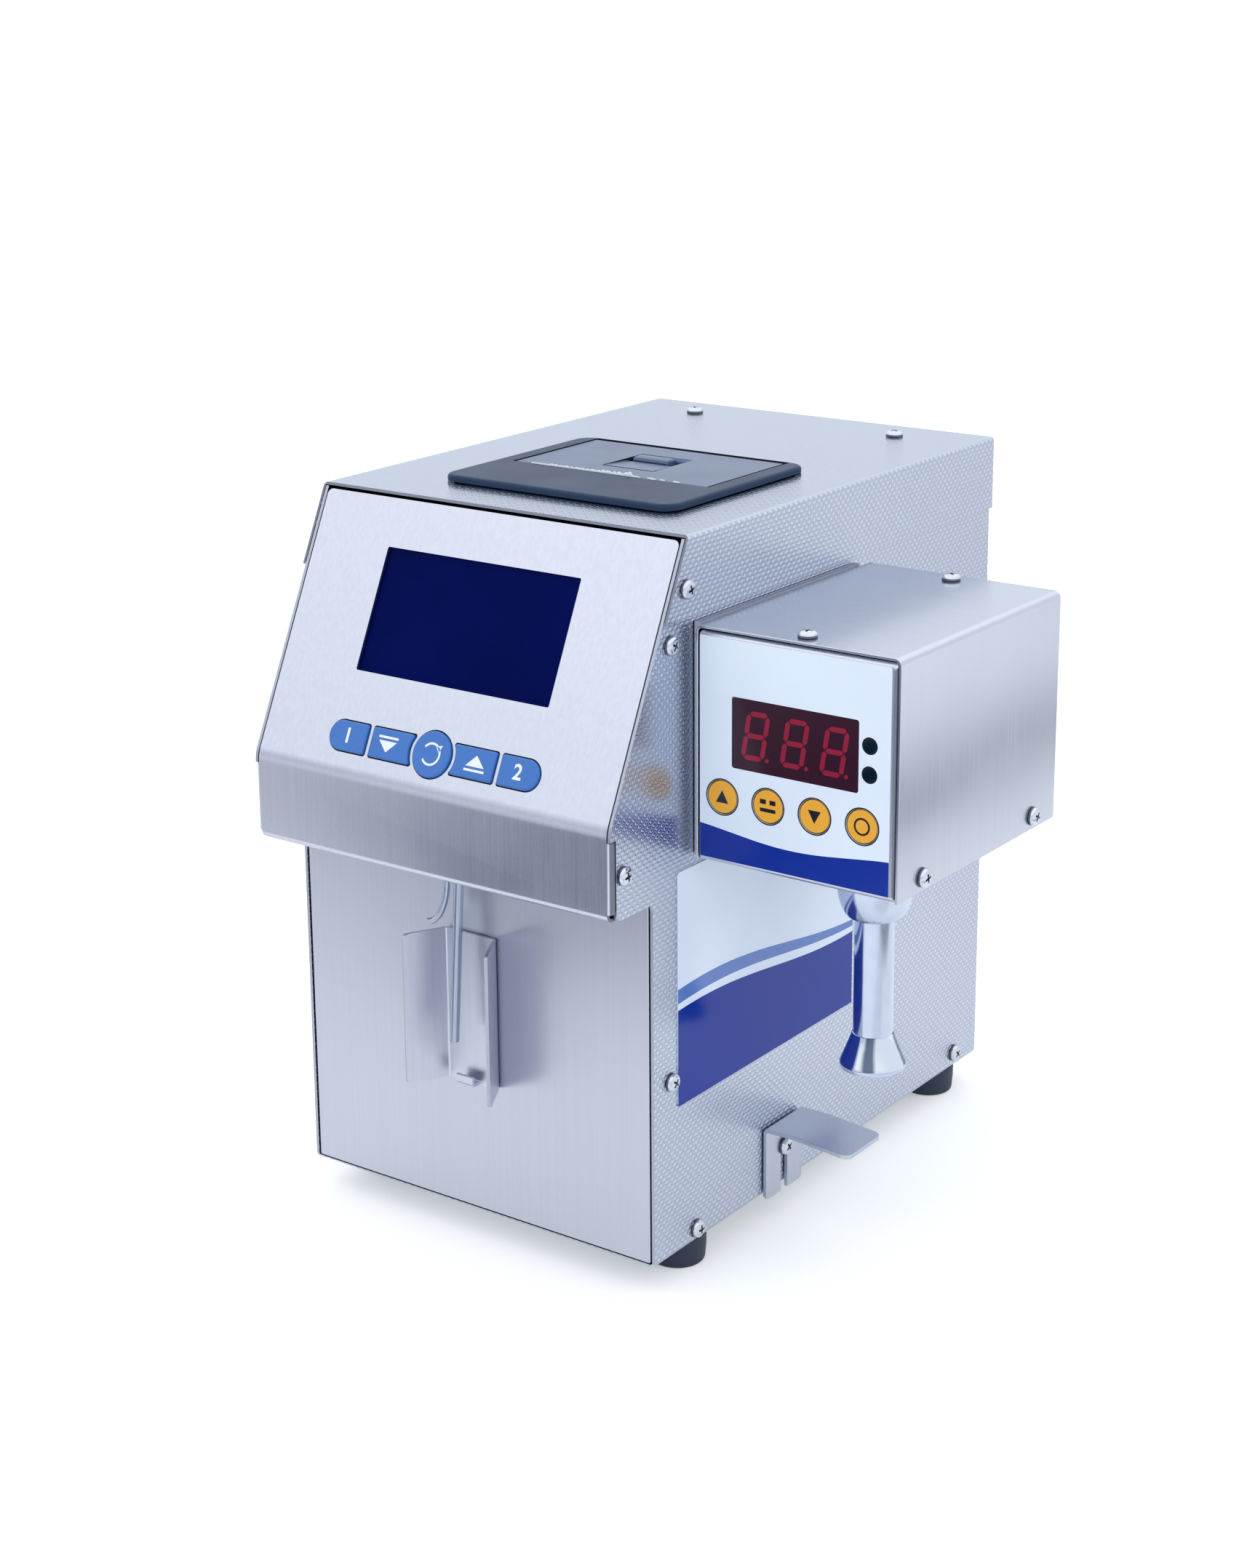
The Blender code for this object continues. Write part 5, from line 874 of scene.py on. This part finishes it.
def build_shelf():
    """The bent shelf on the right, with the slot that its clamp screw passes through."""
    front, rear = 78.25, 98.75
    line = [(98.0, 31.4), (79.0, 33.0), (67.2, 33.0), (67.2, 8.7)]
    sheet = from_front([bent_sheet(line, 1.3, [0, 11.8, 1.8, 0], 12)], front, rear)
    plan = slab([rectangle(60, 98, front, rear, [0, 3, 3, 0], 8)], 0, 60)
    foot = from_side([rectangle(front, rear, 8.7, 60, [1.5, 1.5, 0, 0])], 60, 100)
    gap = from_side([rectangle(86.6, 90.4, 4, 25.5, [0, 0, 1.85, 1.85], 8)], 66, 69.4)
    shape = shaped(sheet, ("keep", plan, foot), ("cut", gap))
    piece("shelf_sheet", shape, SHELF_STEEL, "cup_shelf", 0.18, body="cup_shelf")


def build_feet():
    """Four rubber feet, hollow underneath."""
    profile = [(0, 9.3), (9.0, 9.3), (9.0, 8.9), (8.95, 5.0), (8.6, 1.0)]
    profile += [*arc(7.6, 0.9, 0.9, 0, -90, 5), (3.6, 0), (3.4, 1.4), (0, 1.4)]
    for end, y in (("front", 46), ("rear", 199)):
        for side, x in (("left", -57), ("right", 57)):
            name = "foot_" + end + "_" + side
            piece(name + "_pad", lathe(profile, 64), RUBBER, name, 0.1, at(x, y, 0))


# ------------------------------------------------------------------- screws


def screw_shape():
    """A cross-headed pan screw standing on the origin, its thread below."""
    crown = [
        (2.85, 0.1), (2.85, 0.75), (2.8, 1.0), (2.66, 1.3), (2.4, 1.56), (2.0, 1.78), (1.4, 1.93),
        (0.7, 1.99), (0, 2.0),
    ]
    head = lathe([(0, -5), (1.4, -5), (1.4, 0.1)] + crown, 40)

    def cross(size, height):
        a, b = 0.36 * size, 1.62 * size
        points = [(b, -a), (b, a), (a, a)]
        for _ in range(3):
            points += [(-y, x) for x, y in points[-3:]]
        return [(x, y, height) for x, y in points]

    return shaped(head, ("cut", loft([cross(0.45, 0.75), cross(1.0, 2.2)])))


SCREW = screw_shape()
SIDE_SCREWS = (
    ("screw_side_cover", COVER_X, 35.6, 214.1), ("screw_side_upper", WALL_X, 29.3, 198.9),
    ("screw_side_head", WALL_X, 5.9, 137.4), ("screw_side_label", WALL_X, 29, 66.4),
    ("screw_side_front_low", WALL_X, 42.1, 14), ("screw_side_rear_low", WALL_X, 199.4, 15),
)
TOP_SCREWS = (
    ("screw_top_left", -40, 197.5, COVER_TOP), ("screw_top_right", 40, 197.5, COVER_TOP),
    ("screw_stirrer_top_front", STIRRER_X, 43.8, HOOD_TOP),
    ("screw_stirrer_top_rear", STIRRER_X, 124.4, HOOD_TOP),
)


def put_screw(name, place, degrees, node=None):
    """A screw standing on a place, its cross turned by so many degrees, with painted shade on the
    side of its head and in its cross.
    """
    spin = Matrix.Rotation(math.radians(degrees), 4, "Z")
    head = piece(name, SCREW.copy(), CHROME, node, 0.06, place @ spin, angle=30)
    seat, axis = place.translation, place.to_3x3() @ Vector((0, 0, 1))

    def is_painted_shade(middle, normal):
        """The side of the head and the walls of its cross, which get painted shade."""
        height = (middle - seat).dot(axis)
        away = (middle - seat - axis * height).length
        return height < 0.8 or (away < 1.65 and abs(normal.dot(axis)) < 0.7)

    # Painted shade round the side of the head and in its cross
    paint(head, SCREW_PAINTED_SHADE, is_painted_shade)


def build_screws():
    """All the screws; those on the left wall and the rear are guessed and stand for no node."""
    for k, (node, x, y, z) in enumerate(SIDE_SCREWS):
        put_screw(node + "_head", at(x, y, z) @ TO_RIGHT, 17 + 41 * k, node)
        if node != "screw_side_label":
            put_screw(node + "_left_head", at(-x, y, z) @ TO_LEFT, 5 + 33 * k)
    for k, (node, x, y, z) in enumerate(TOP_SCREWS):
        put_screw(node + "_head", at(x, y, z), 28 + 37 * k, node)
    for k, (end, y) in enumerate((("front", 51.6), ("rear", 116.6))):
        node = "screw_stirrer_side_" + end
        put_screw(node + "_head", at(HOOD_RIGHT, y, 137.7) @ TO_RIGHT, 12 + 50 * k, node)
    put_screw("shelf_screw_head", at(68.5, 88.5, 23.6) @ TO_RIGHT, 35, "shelf_screw")
    for k, (x, z) in enumerate(((-58, 20), (58, 20), (-58, 198), (58, 198))):
        put_screw("screw_rear_" + str(k + 1), at(x, SHELL_REAR, z) @ TO_REAR, 9 + 29 * k)


# -------------------------------------------------------------------- label


def wave(left, right, level, swing, turns, phase):
    """Points along a slow wave."""
    steps = 48
    points = []
    for k in range(steps + 1):
        share = k / steps
        angle = math.radians(phase) + turns * math.pi * share
        points.append((left + (right - left) * share, level + swing * math.sin(angle)))
    return points


def build_label():
    """The printed sheet on the right wall: white over navy, with a plain curved band."""
    front, rear, low, high = 32.15, 130.0, 57.4, 130.4
    face = 67.2
    sheet = slab([rectangle(front, rear, low, high, 1.2)], 66.95, face)
    piece("label_sheet", sheet, FILM, "side_label", place=IN_YZ)
    top = wave(front, rear, 85.0, 3.2, 1.25, 60)
    navy = slab([[(front, low), (rear, low)] + top[::-1]], face, face + 0.025)
    piece("label_navy_area", navy, FILM_NAVY, place=IN_YZ)
    below = wave(front, rear, 87.2, 3.4, 1.2, 52)
    above = wave(front, rear, 90.4, 4.6, 1.1, 58)
    piece("label_band", slab([below + above[::-1]], face, face + 0.02), FILM_LIGHT, place=IN_YZ)


# ------------------------------------------------------------------ printer


def build_bezel():
    """The printer's frame and bucket, and the pegs that hold the roll's ends."""
    outer = rectangle(-38.75, 47.75, 57, 132, 6, 10)
    edge = [(0, 229.6), (0, 230.6), (0.1, 230.95), (0.35, 231.28), (0.8, 231.5), (1.6, 231.6)]
    bucket = block((-34.5, 59, 185.3), (43.5, 130, 230.8))
    seat = slab([rectangle(-32.6, 41.6, 85.4, 131.0, 0.8)], 228.3, 235)
    room = block((-28.75, 85.4, 187.5), (37.75, 127.8, 235))
    shape = shaped(pillow(outer, edge), ("join", bucket), ("cut", seat, room))
    bezel = piece("printer_frame", shape, SLATE, "printer_body", 0.25)
    # Painted shade inside the seat and the bucket, below the rim
    paint(bezel, SLATE_PAINTED_SHADE, lambda m, n: (
        abs(m.x - PRINTER_X) < 37.2 and 85.3 < m.y < 131.1 and m.z < 231.4
    ))
    for name, side, lay in (("paper_peg_left", -1, TO_LEFT), ("paper_peg_right", 1, TO_RIGHT)):
        peg = lathe([(0, 0), (4.1, 0), (4.9, 0.8), (4.9, 8.85), (0, 8.85)])
        place = at(PRINTER_X + side * 25.5, 110.9, 209.4) @ lay
        # The pegs inside the bucket take the painted shade too
        piece(name, peg, SLATE_PAINTED_SHADE, place=place)


def build_lid():
    """The printer's lid with its finger recess, and the roller arms below it."""
    profile = [(86.4, 228.6), *arc(128.9, 230.1, 0.95, -90, 10)]
    profile += [(129.5, 230.9), (129.3, 231.2), (129.0, 231.35), (87.1, 231.35)]
    profile += [(86.6, 231.2), (86.4, 230.8)]
    boss = block((-7.0, 96.7, 226.8), (14.6, 119.1, 229.8))
    recess = [
        (96.4, 230.6), (97.3, 230.6), (97.3, 231.3), (98.6, 231.2), (108.6, 230.7), (110.3, 230.4),
        (111.0, 229.1), (117.9, 228.6), (117.9, 235), (96.4, 235),
    ]
    arms = []
    for side in (-1, 1):
        near, far = sorted((PRINTER_X + side * 28.85, PRINTER_X + side * 30.85))
        arms.append(block((near, 88.1, 221.2), (far, 93.3, 229.8)))
    scoop = from_side([recess], -5.8, 13.4)
    lid = from_side([profile], -32.25, 40.2)
    shape = shaped(lid, ("join", boss), ("cut", scoop), ("join", *arms))
    plate = piece(
        "lid_plate", shape, SLATE_LID, "printer_lid", 0.18, body="printer_lid"
    )
    # Painted shade on the lid's sides, its rear and its recess walls, and in the groove at the
    # front of the recess
    paint(plate, SLATE_PAINTED_SHADE, lambda m, n: m.z > 228.6 and (n.y > 0.5 or abs(n.x) > 0.5))
    paint(plate, SLATE_PAINTED_SHADE, lambda m, n: 96.3 < m.y < 97.35 and 230.5 < m.z < 231.32)


def build_latch():
    """The finger bar in the lid's recess, with the pin it turns on."""
    left, right = -4.9, 8.6
    profile = [(111.6, 229.6), (112.4, 229.5), *arc(116.7, 230.4, 0.9, -90, 60)]
    profile += [(115.6, 231.65), (112.6, 231.7), (111.6, 231.4), (111.2, 230.7)]
    bar = soften(from_side([profile], left, right), lambda a, b: (
        min(a.z, b.z) > 230.3 and (max(a.x, b.x) < left + 0.1 or min(a.x, b.x) > right - 0.1)
    ), 0.7, 3)
    pin = lathe([(0, -9.9), (0.9, -9.9), (0.9, 9.9), (0, 9.9)], 24)
    pin = moved(pin, at(3.8, 116.7, 230.4) @ TO_RIGHT)
    piece(
        "latch_bar", with_shell(bar, pin), SLATE_LID, "printer_latch", 0.15,
        body="printer_latch"
    )


def build_roller():
    """The roller under the lid that feeds the paper."""
    half = [(0, 30.85), (1.4, 30.85), (1.4, 28.25), (3.6, 28.25), (4.0, 27.85)]
    profile = [(radius, -height) for radius, height in half] + half[::-1]
    piece(
        "feed_roller", lathe(profile), RUBBER, "platen_roller",
        place=at(PRINTER_X, 90.7, 223.8) @ TO_RIGHT, body="platen_roller"
    )


def build_torn_paper():
    """The ragged end of the paper where it comes up in front of the lid."""
    front, edge = 85.78, 231.65
    shape = bmesh.new()
    for left, right, base in (
        (-25.4, 16.2, 0.30), (19.0, 22.2, 0.2), (23.6, 25.6, 0.15), (28.6, 31.0, 0.2),
    ):
        rows = []
        count = round((right - left) / 0.55)
        for k in range(count + 1):
            x = left + (right - left) * k / count
            ragged = 0.12 * math.sin(3.1 * x) + 0.10 * math.sin(7.3 * x + 1.1)
            ragged += 0.07 * math.sin(12.7 * x)
            peak = 1.5 * max(0, 1 - abs(x - 12.4) / 2.4) + 0.25 * max(0, 1 - abs(x - 6.0) / 9.0)
            toward_end = min(1, 6 * k / count, 6 * (1 - k / count))
            height = max(0.3, (base + peak + ragged * (1 + peak)) * 1.3 * toward_end)
            lean = 0.16 + 0.05 * math.sin(0.9 * x)
            row = [
                (x, 85.9, 227.6), (x, 85.82, 231.2), (x, front, 231.6),
                (x, front + lean * height * 0.4, edge + height * 0.5),
                (x, front + lean * height, edge + height),
            ]
            rows.append([shape.verts.new(point) for point in row])
        for a, b in zip(rows, rows[1:]):
            for i in range(len(a) - 1):
                shape.faces.new((a[i], b[i], b[i + 1], a[i + 1]))
    strip = piece("torn_paper", shape, PAPER, angle=60)
    strip.modifiers.new("Thick", "SOLIDIFY").thickness = 0.08 * MM


# ------------------------------------------------------------------ stirrer

STIRRER_KEYS = [(78.7 + 15.43 * k, 154.1) for k in range(4)]
STIRRER_KEY_MARKS = (
    [[(-2.1, -1.7), (2.1, -1.7), (0, 2.1)]],
    [
        rectangle(-2.6, -0.6, 0.6, 2.0), rectangle(0.6, 2.6, 0.6, 2.0),
        rectangle(-2.6, 2.6, -1.7, -0.6),
    ],
    [[(-2.1, 1.7), (0, -2.1), (2.1, 1.7)]],
    [circle(0, 0, 2.6, 36), circle(0, 0, 2.0, 36)],
)


def build_stirrer_case():
    """The stirrer's bent chassis and the hood over it."""
    line = [
        (HOOD_RIGHT, STIRRER_LOW), (HOOD_RIGHT, HOOD_TOP), (HOOD_LEFT, HOOD_TOP),
        (HOOD_LEFT, STIRRER_LOW),
    ]
    hood = from_front([bent_sheet(line, 0.8, [0, 2.2, 2.2, 0])], 37.8, 130.4)
    piece("stirrer_hood", hood, HOOD_STEEL, "stirrer_cover", 0.14)
    line = [
        (48.8, CASE_TOP), (CASE_FRONT, CASE_TOP), (CASE_FRONT, STIRRER_LOW),
        (CASE_REAR, STIRRER_LOW), (CASE_REAR, CASE_TOP), (119.4, CASE_TOP),
    ]
    sheet = bent_sheet(line, 1.0, [0, 2.0, 1.6, 1.6, 1.6, 0], 8)
    case = soften(from_side([sheet], CASE_LEFT, CASE_RIGHT), lambda a, b: (
        min(a.x, b.x) > CASE_RIGHT - 0.1 and max(a.y, b.y) < CASE_FRONT + 0.1
    ), 0.9, 4)
    outline = rectangle(CASE_LEFT, CASE_RIGHT, STIRRER_LOW, CASE_TOP, [0, 0, 1.4, 1.4])
    envelope = from_front([outline], 30, 140)
    ledges = []
    for near in (CASE_LEFT, CASE_RIGHT - 1):
        ledges.append(block((near, 48.8, 134.1), (near + 1, 119.4, 142.6)))
    holes = [block((83.65, 30, 164.2), (121.85, 40, 183.8))]
    holes += [from_front([circle(x, z, 5.1, 40)], 37, 40) for x, z in STIRRER_KEYS]
    holes.append(slab([circle(STIRRER_X, 83, 4.3, 40)], 130, 136))
    shape = shaped(case, ("keep", envelope), ("join", *ledges), ("cut", *holes))
    case = piece("stirrer_frame", shape, STEEL, "stirrer_chassis", 0.14)
    # Painted shade on the chassis's front right edge, for the dark gap beside the hood
    paint(case, PAINTED_SHADE_STEEL, lambda m, n: m.y < 39.3 and n.x > 0.15)


def on_overlay(outlines, low=0.0, high=0.02):
    """Flat prints on the stirrer's front; their heights are measured out from it."""
    return from_front(outlines, OVERLAY_Y - high, OVERLAY_Y - low)


def before_overlay(x, z):
    """Lays a drawing on the stirrer's front, its third axis toward the viewer."""
    return at(x, OVERLAY_Y, z) @ IN_XZ


def printed_ring(x, z, outer, inner, sides):
    return on_overlay([circle(x, z, outer, sides), circle(x, z, inner, sides)])


def digit(x, z, width, height, bar):
    """A seven-segment figure with pointed bars and its point, leaning to the right."""
    w, h, b, gap = width / 2, height / 2, bar / 2, 0.22

    def segment(start, stop, level, half):
        """A bar from start to stop, its long sides half a bar's width off its level."""
        start, stop = start + gap, stop - gap
        return [
            (start, level), (start + b, level - half), (stop - b, level - half),
            (stop, level), (stop - b, level + half), (start + b, level + half),
        ]

    shapes = [segment(-w, w, level, b) for level in (-h, 0, h)]
    for side in (-w, w):
        for low in (-h, 0):
            shapes.append([(px, pz) for pz, px in segment(low, low + h, side, -b)])
    shapes.append(circle(4.9, -h, 0.65, 20))
    return [[(x + px + 0.16 * pz, z + pz) for px, pz in shape] for shape in shapes]


def build_overlay():
    """The printed sheet on the stirrer's front, its dark display window, lamps and key rings."""
    left, right, low, high = 71.0, 133.7, 135.2, 201.0
    holes = [circle(x, z, 5.1, 40) for x, z in STIRRER_KEYS]
    sheet = on_overlay([rectangle(left, right, low, high, 0.5)] + holes, -0.25, 0.0)
    piece("overlay_sheet", sheet, FILM, "stirrer_overlay")
    top = wave(left, right, 144.0, 1.6, 1.6, 130)
    piece("overlay_band", on_overlay([[(left, low), (right, low)] + top[::-1]]), FILM_NAVY)
    window = on_overlay([rectangle(81.9, 123.6, 163.5, 184.5, 0.8)])
    piece("overlay_window", window, RED_WINDOW)
    figures = []
    for k in range(3):
        figures += digit(89.9 + 12.95 * k, 174.0, 6.3, 13.0, 1.5)
    piece("overlay_figures", on_overlay(figures, 0.02, 0.03), SEGMENT)
    for k, z in enumerate((177.7, 169.4)):
        number = str(k + 1)
        piece("overlay_lamp_ring_" + number, printed_ring(LAMP_X, z, 2.5, 2.2, 40), INK)
        lens = pillow(circle(0, 0, 2.2, 40), [(0, 0.001), (0, 0.012), (0.3, 0.03), (1.2, 0.045)])
        piece("overlay_lamp_" + number, lens, LAMP_LENS, place=before_overlay(LAMP_X, z))
    for k, (x, z) in enumerate(STIRRER_KEYS):
        name = "stirrer_key_" + str(k + 1)
        piece("stirrer_key_ring_" + str(k + 1), printed_ring(x, z, 5.55, 5.15, 48), INK)
        cap = pillow(circle(0, 0, 4.8, 56), rim(0.3, 0.1, -4.0))
        piece(
            name + "_cap", cap, YELLOW, name, place=before_overlay(x, z), body=name,
            angle=50
        )
    for k, ((x, z), outlines) in enumerate(zip(STIRRER_KEYS, STIRRER_KEY_MARKS)):
        name = "stirrer_key_" + str(k + 1)
        mark = slab(outlines, 0.09, 0.115)
        piece(name + "_mark", mark, INK, place=before_overlay(x, z), body=name)


def build_horn():
    """The stirring horn: stud, bowl-shaped collar, shank and flared tip."""
    profile = [(0, 12.0), (4.0, 12.0), (4.0, -0.3)]
    profile += [(11.05, -0.3), (11.4, -0.45), (11.55, -0.7), (11.6, -1.1), (11.6, -11.9)]
    for k in range(1, 17):
        t = math.pi / 2 * k / 16
        profile.append((6.75 + 4.85 * math.cos(t), -12.3 - 12.0 * math.sin(t)))
    profile += [(6.05, -24.6), (6.05, -61.0)]
    for k in range(13):
        share = k / 12
        profile.append((6.35 + 3.75 * share ** 1.15, -61.1 - 9.4 * share))
    profile += [(10.15, -71.0), (10.1, -71.4), (9.8, -71.9), (9.4, -72.1), (0, -72.1)]
    horn = piece(
        "horn_body", lathe(profile, 96), ALUMINIUM, "transducer_horn",
        place=at(STIRRER_X, 83.0, STIRRER_LOW), angle=32
    )
    # The flare gets the painted reflection streaks
    paint(horn, FLARE_PAINTED_STREAKS, lambda m, n: 63.0 < m.z < 72.7 and n.z > 0.1)


# -------------------------------------------------- lower panel, rear, inside

DRESSED = (
    ("lcd_window", GLASS, 0), ("lcd_module", CIRCUIT, 0), ("keypad_board", CIRCUIT, 0),
    ("paper_roll", PAPER, 0.2), ("stirrer_mount_plate", PANEL_STEEL, 0.1),
    ("stirrer_board", CIRCUIT, 0), ("transducer_stack", CERAMIC, 0), ("rear_panel", EMBOSSED, 0.15),
    ("switch_housing", BLACK, 0.35), ("power_rocker", BLACK, 0.3), ("serial_port", CHROME, 0.25),
    ("main_board", CIRCUIT, 0.2), ("pump_housing", BLACK, 0.2), ("pump_motor", DULL_METAL, 0.2),
    ("pump_rotor", ALUMINIUM, 0.2), ("sensor_block", DULL_METAL, 0.2),
)


def build_panel_and_ports():
    """The panel below the head, and at the rear the power inlet and the serial port's face."""
    panel = from_front([rectangle(-65.2, 65.2, 10.9, 131.9, 0.6)], 20.2, 21.2)
    piece("lower_panel_sheet", panel, PANEL_STEEL, "lower_front_panel", 0.2)
    profile = [(0, -1.2), (0.7, -1), (1, -1.6), (1, -9), (3.2, -9), (3.2, 1.2), (3.6, 1.8)]
    profile += [(6.4, 1.8), (7, 1.2), (7, 0), (5.7, 0), (5.7, -11.6), (0, -11.6)]
    piece(
        "inlet_body", lathe(profile, 64), BLACK, "dc_inlet", 0.1,
        at(12, 214.7, 60) @ TO_REAR
    )
    pins = [
        circle(SERIAL_X + (k - (count - 1) / 2) * 2.76, z, 0.55, 16)
        for z, count in ((61.4, 5), (58.6, 4)) for k in range(count)
    ]
    insert = rounded([(-32.4, 57.2), (-19.6, 57.2), (-18.7, 62.9), (-33.3, 62.9)], 0.8)
    piece("serial_insert", from_front([insert] + pins, 220.2, 220.26), BLACK)
    profile = [(0, 0), (2.75, 0), (2.75, 3.6), (2.45, 4.0), (1.3, 4.0), (1.3, 1.0), (0, 1.0)]
    for k, x in enumerate((SERIAL_X - 12.5, SERIAL_X + 12.5)):
        place = at(x, 215.7, 60) @ TO_REAR
        name = "serial_post_" + str(k + 1)
        piece(name, lathe(profile, 6), DULL_METAL, place=place, angle=20)


build_shell()
build_cover()
build_head()
build_keys()
build_pipes()
build_bracket()
build_shelf()
build_feet()
build_screws()
build_label()
build_bezel()
build_lid()
build_latch()
build_roller()
build_torn_paper()
build_stirrer_case()
build_overlay()
build_horn()
build_panel_and_ports()
for dressed, coat, edge_radius in DRESSED:
    dress(dressed, coat, edge_radius)


# ------------------------------------------------------- stage, camera, light


def build_floor():
    """A pale floor that shows white round the object and keeps its soft shadow; in reflections it
    is painted darker in places.
    """
    shape = bmesh.new()
    bmesh.ops.create_grid(shape, x_segments=12, y_segments=12, size=6.0)
    mesh = bpy.data.meshes.new("floor")
    shape.to_mesh(mesh)
    shape.free()
    floor = new_object("floor", mesh)
    nodes = Paint("floor_paint")
    x, y, _ = nodes.split(nodes.coords())
    camera, glossy, through = nodes.outs(
        "LightPath", ("Is Camera Ray", "Is Glossy Ray", "Is Transmission Ray")
    )

    # What the object's metal sees of the floor is painted darker in places, a painted reflection of
    # shade: past a line in front on the left, ...
    edge = y - nodes.slope(x, -0.25, -0.20, 0.0, 0.06) * nodes.slope(x, -0.18, -0.13, 1.0, 0.0)
    far = nodes.span(x, -0.75, -0.50, 0.32, 1.0)
    front = nodes.slope(edge, -0.272, -0.392, 0.0, 1.0) * nodes.slope(x, -0.14, -0.04, 1.0, 0.0)
    front *= nodes.span(x, -0.43, -0.20, 0.42, 1.0)
    front *= nodes.slope(y, -1.30, -0.60, far, 1.0)
    # ... and painted dimmer behind on the right, close by on the right and in a streak further out
    behind = nodes.slope(x * -1.2 + y, 0.03, 0.22, 0.0, 0.19)
    near = nodes.slope(y, -0.04, -0.09, 0.0, 0.20) * nodes.slope(x, 0.10, 0.17, 0.0, 1.0)
    near *= nodes.slope(y, -0.17, -0.22, 1.0, 0.20)
    beside = nodes.slope(x, 0.18, 0.26, 0.0, 0.08)
    streak = nodes.slope(abs(x - 0.349), 0.012, 0.032, 0.86, 0.0)
    painted_reflection_level = 1.0 - glossy * nodes.most(front, near, behind, beside + streak)

    pale = nodes.mix(nodes.noise(7), (0.79, 0.80, 0.81, 1), (0.80, 0.81, 0.82, 1))
    floor.data.materials.append(nodes.finish(
        nodes.mix(painted_reflection_level, (0.01, 0.03, 0.09, 1), pale), 0.9, Specular_IOR_Level=0.0,
        Emission_Color=(1.0, 1.0, 1.0, 1),
        Emission_Strength=nodes.most(camera, glossy, through) * (painted_reflection_level * (camera * 0.10 + 0.22)),
    ))


def build_world():
    """A bright room above, darker low in front on the left, and plain white past the floor."""
    world = bpy.data.worlds.new("studio")
    bpy.context.scene.world = world
    world.use_nodes = True
    nodes = Nodes(world.node_tree)
    nodes.tree.nodes.clear()
    x, y, z = nodes.split(nodes.coords("Generated"))
    low = nodes.slope(z, 0.10, 0.32, 1.0, 0.0)
    front = nodes.slope(y, 0.15, -0.35, 0.0, 1.0)
    left = nodes.slope(x, 0.10, 0.45, 0.30, 0.0)
    room = nodes.slope(z, 0.30, 0.55, 1.0, 1.30) * (1.0 - low * front * left)
    sky = nodes.mix(
        nodes.slope(z, 0.20, 0.50, 0.0, 1.0), (0.92, 0.98, 1.06, 1), (0.97, 0.985, 1.0, 1)
    )
    around = nodes.out("Background", {"Color": sky, "Strength": room})
    plain = nodes.out("Background", {"Color": (1, 1, 1, 1), "Strength": 1.0})
    camera = nodes.out("LightPath", output="Is Camera Ray")
    mixed = nodes.out("MixShader", {0: camera, 1: around, 2: plain})
    nodes.add("OutputWorld", {"Surface": mixed})


def build_lamp(name, place, target, size, power):
    """A square soft box at a place, in metres, turned toward a target."""
    data = bpy.data.lights.new(name, "AREA")
    data.shape = "RECTANGLE"
    data.size = data.size_y = size
    data.energy = power
    lamp = new_object(name, data)
    lamp.location = place
    lamp.rotation_mode = "QUATERNION"
    lamp.rotation_quaternion = (Vector(target) - Vector(place)).to_track_quat("-Z", "Y")


def build_camera():
    """The photograph's viewing angle, from the front right and a little above."""
    yaw, pitch, roll = (math.radians(angle) for angle in (35.911, 15.237, -0.4425))
    level = math.cos(pitch)
    ahead = Vector((-math.sin(yaw) * level, math.cos(yaw) * level, -math.sin(pitch)))
    right = Vector((math.cos(yaw), math.sin(yaw), 0))
    up = right.cross(ahead)
    side = right * math.cos(roll) + up * math.sin(roll)
    top = up * math.cos(roll) - right * math.sin(roll)
    data = bpy.data.cameras.new("camera")
    data.lens = 62.96
    data.sensor_width = 36.0
    data.shift_y = -0.0826
    data.clip_start, data.clip_end = 0.01, 50.0
    camera = new_object("camera", data)
    camera.matrix_world = turn(side, top, -ahead, (0.45770, -0.6898, 0.3989))
    bpy.context.scene.camera = camera


build_floor()
build_world()
build_lamp("soft_box_left", (-0.74, -1.0, 0.80), (0, 0, 0.12), 1.0, 0.5)
build_camera()
bpy.context.scene.view_settings.view_transform = "Standard"
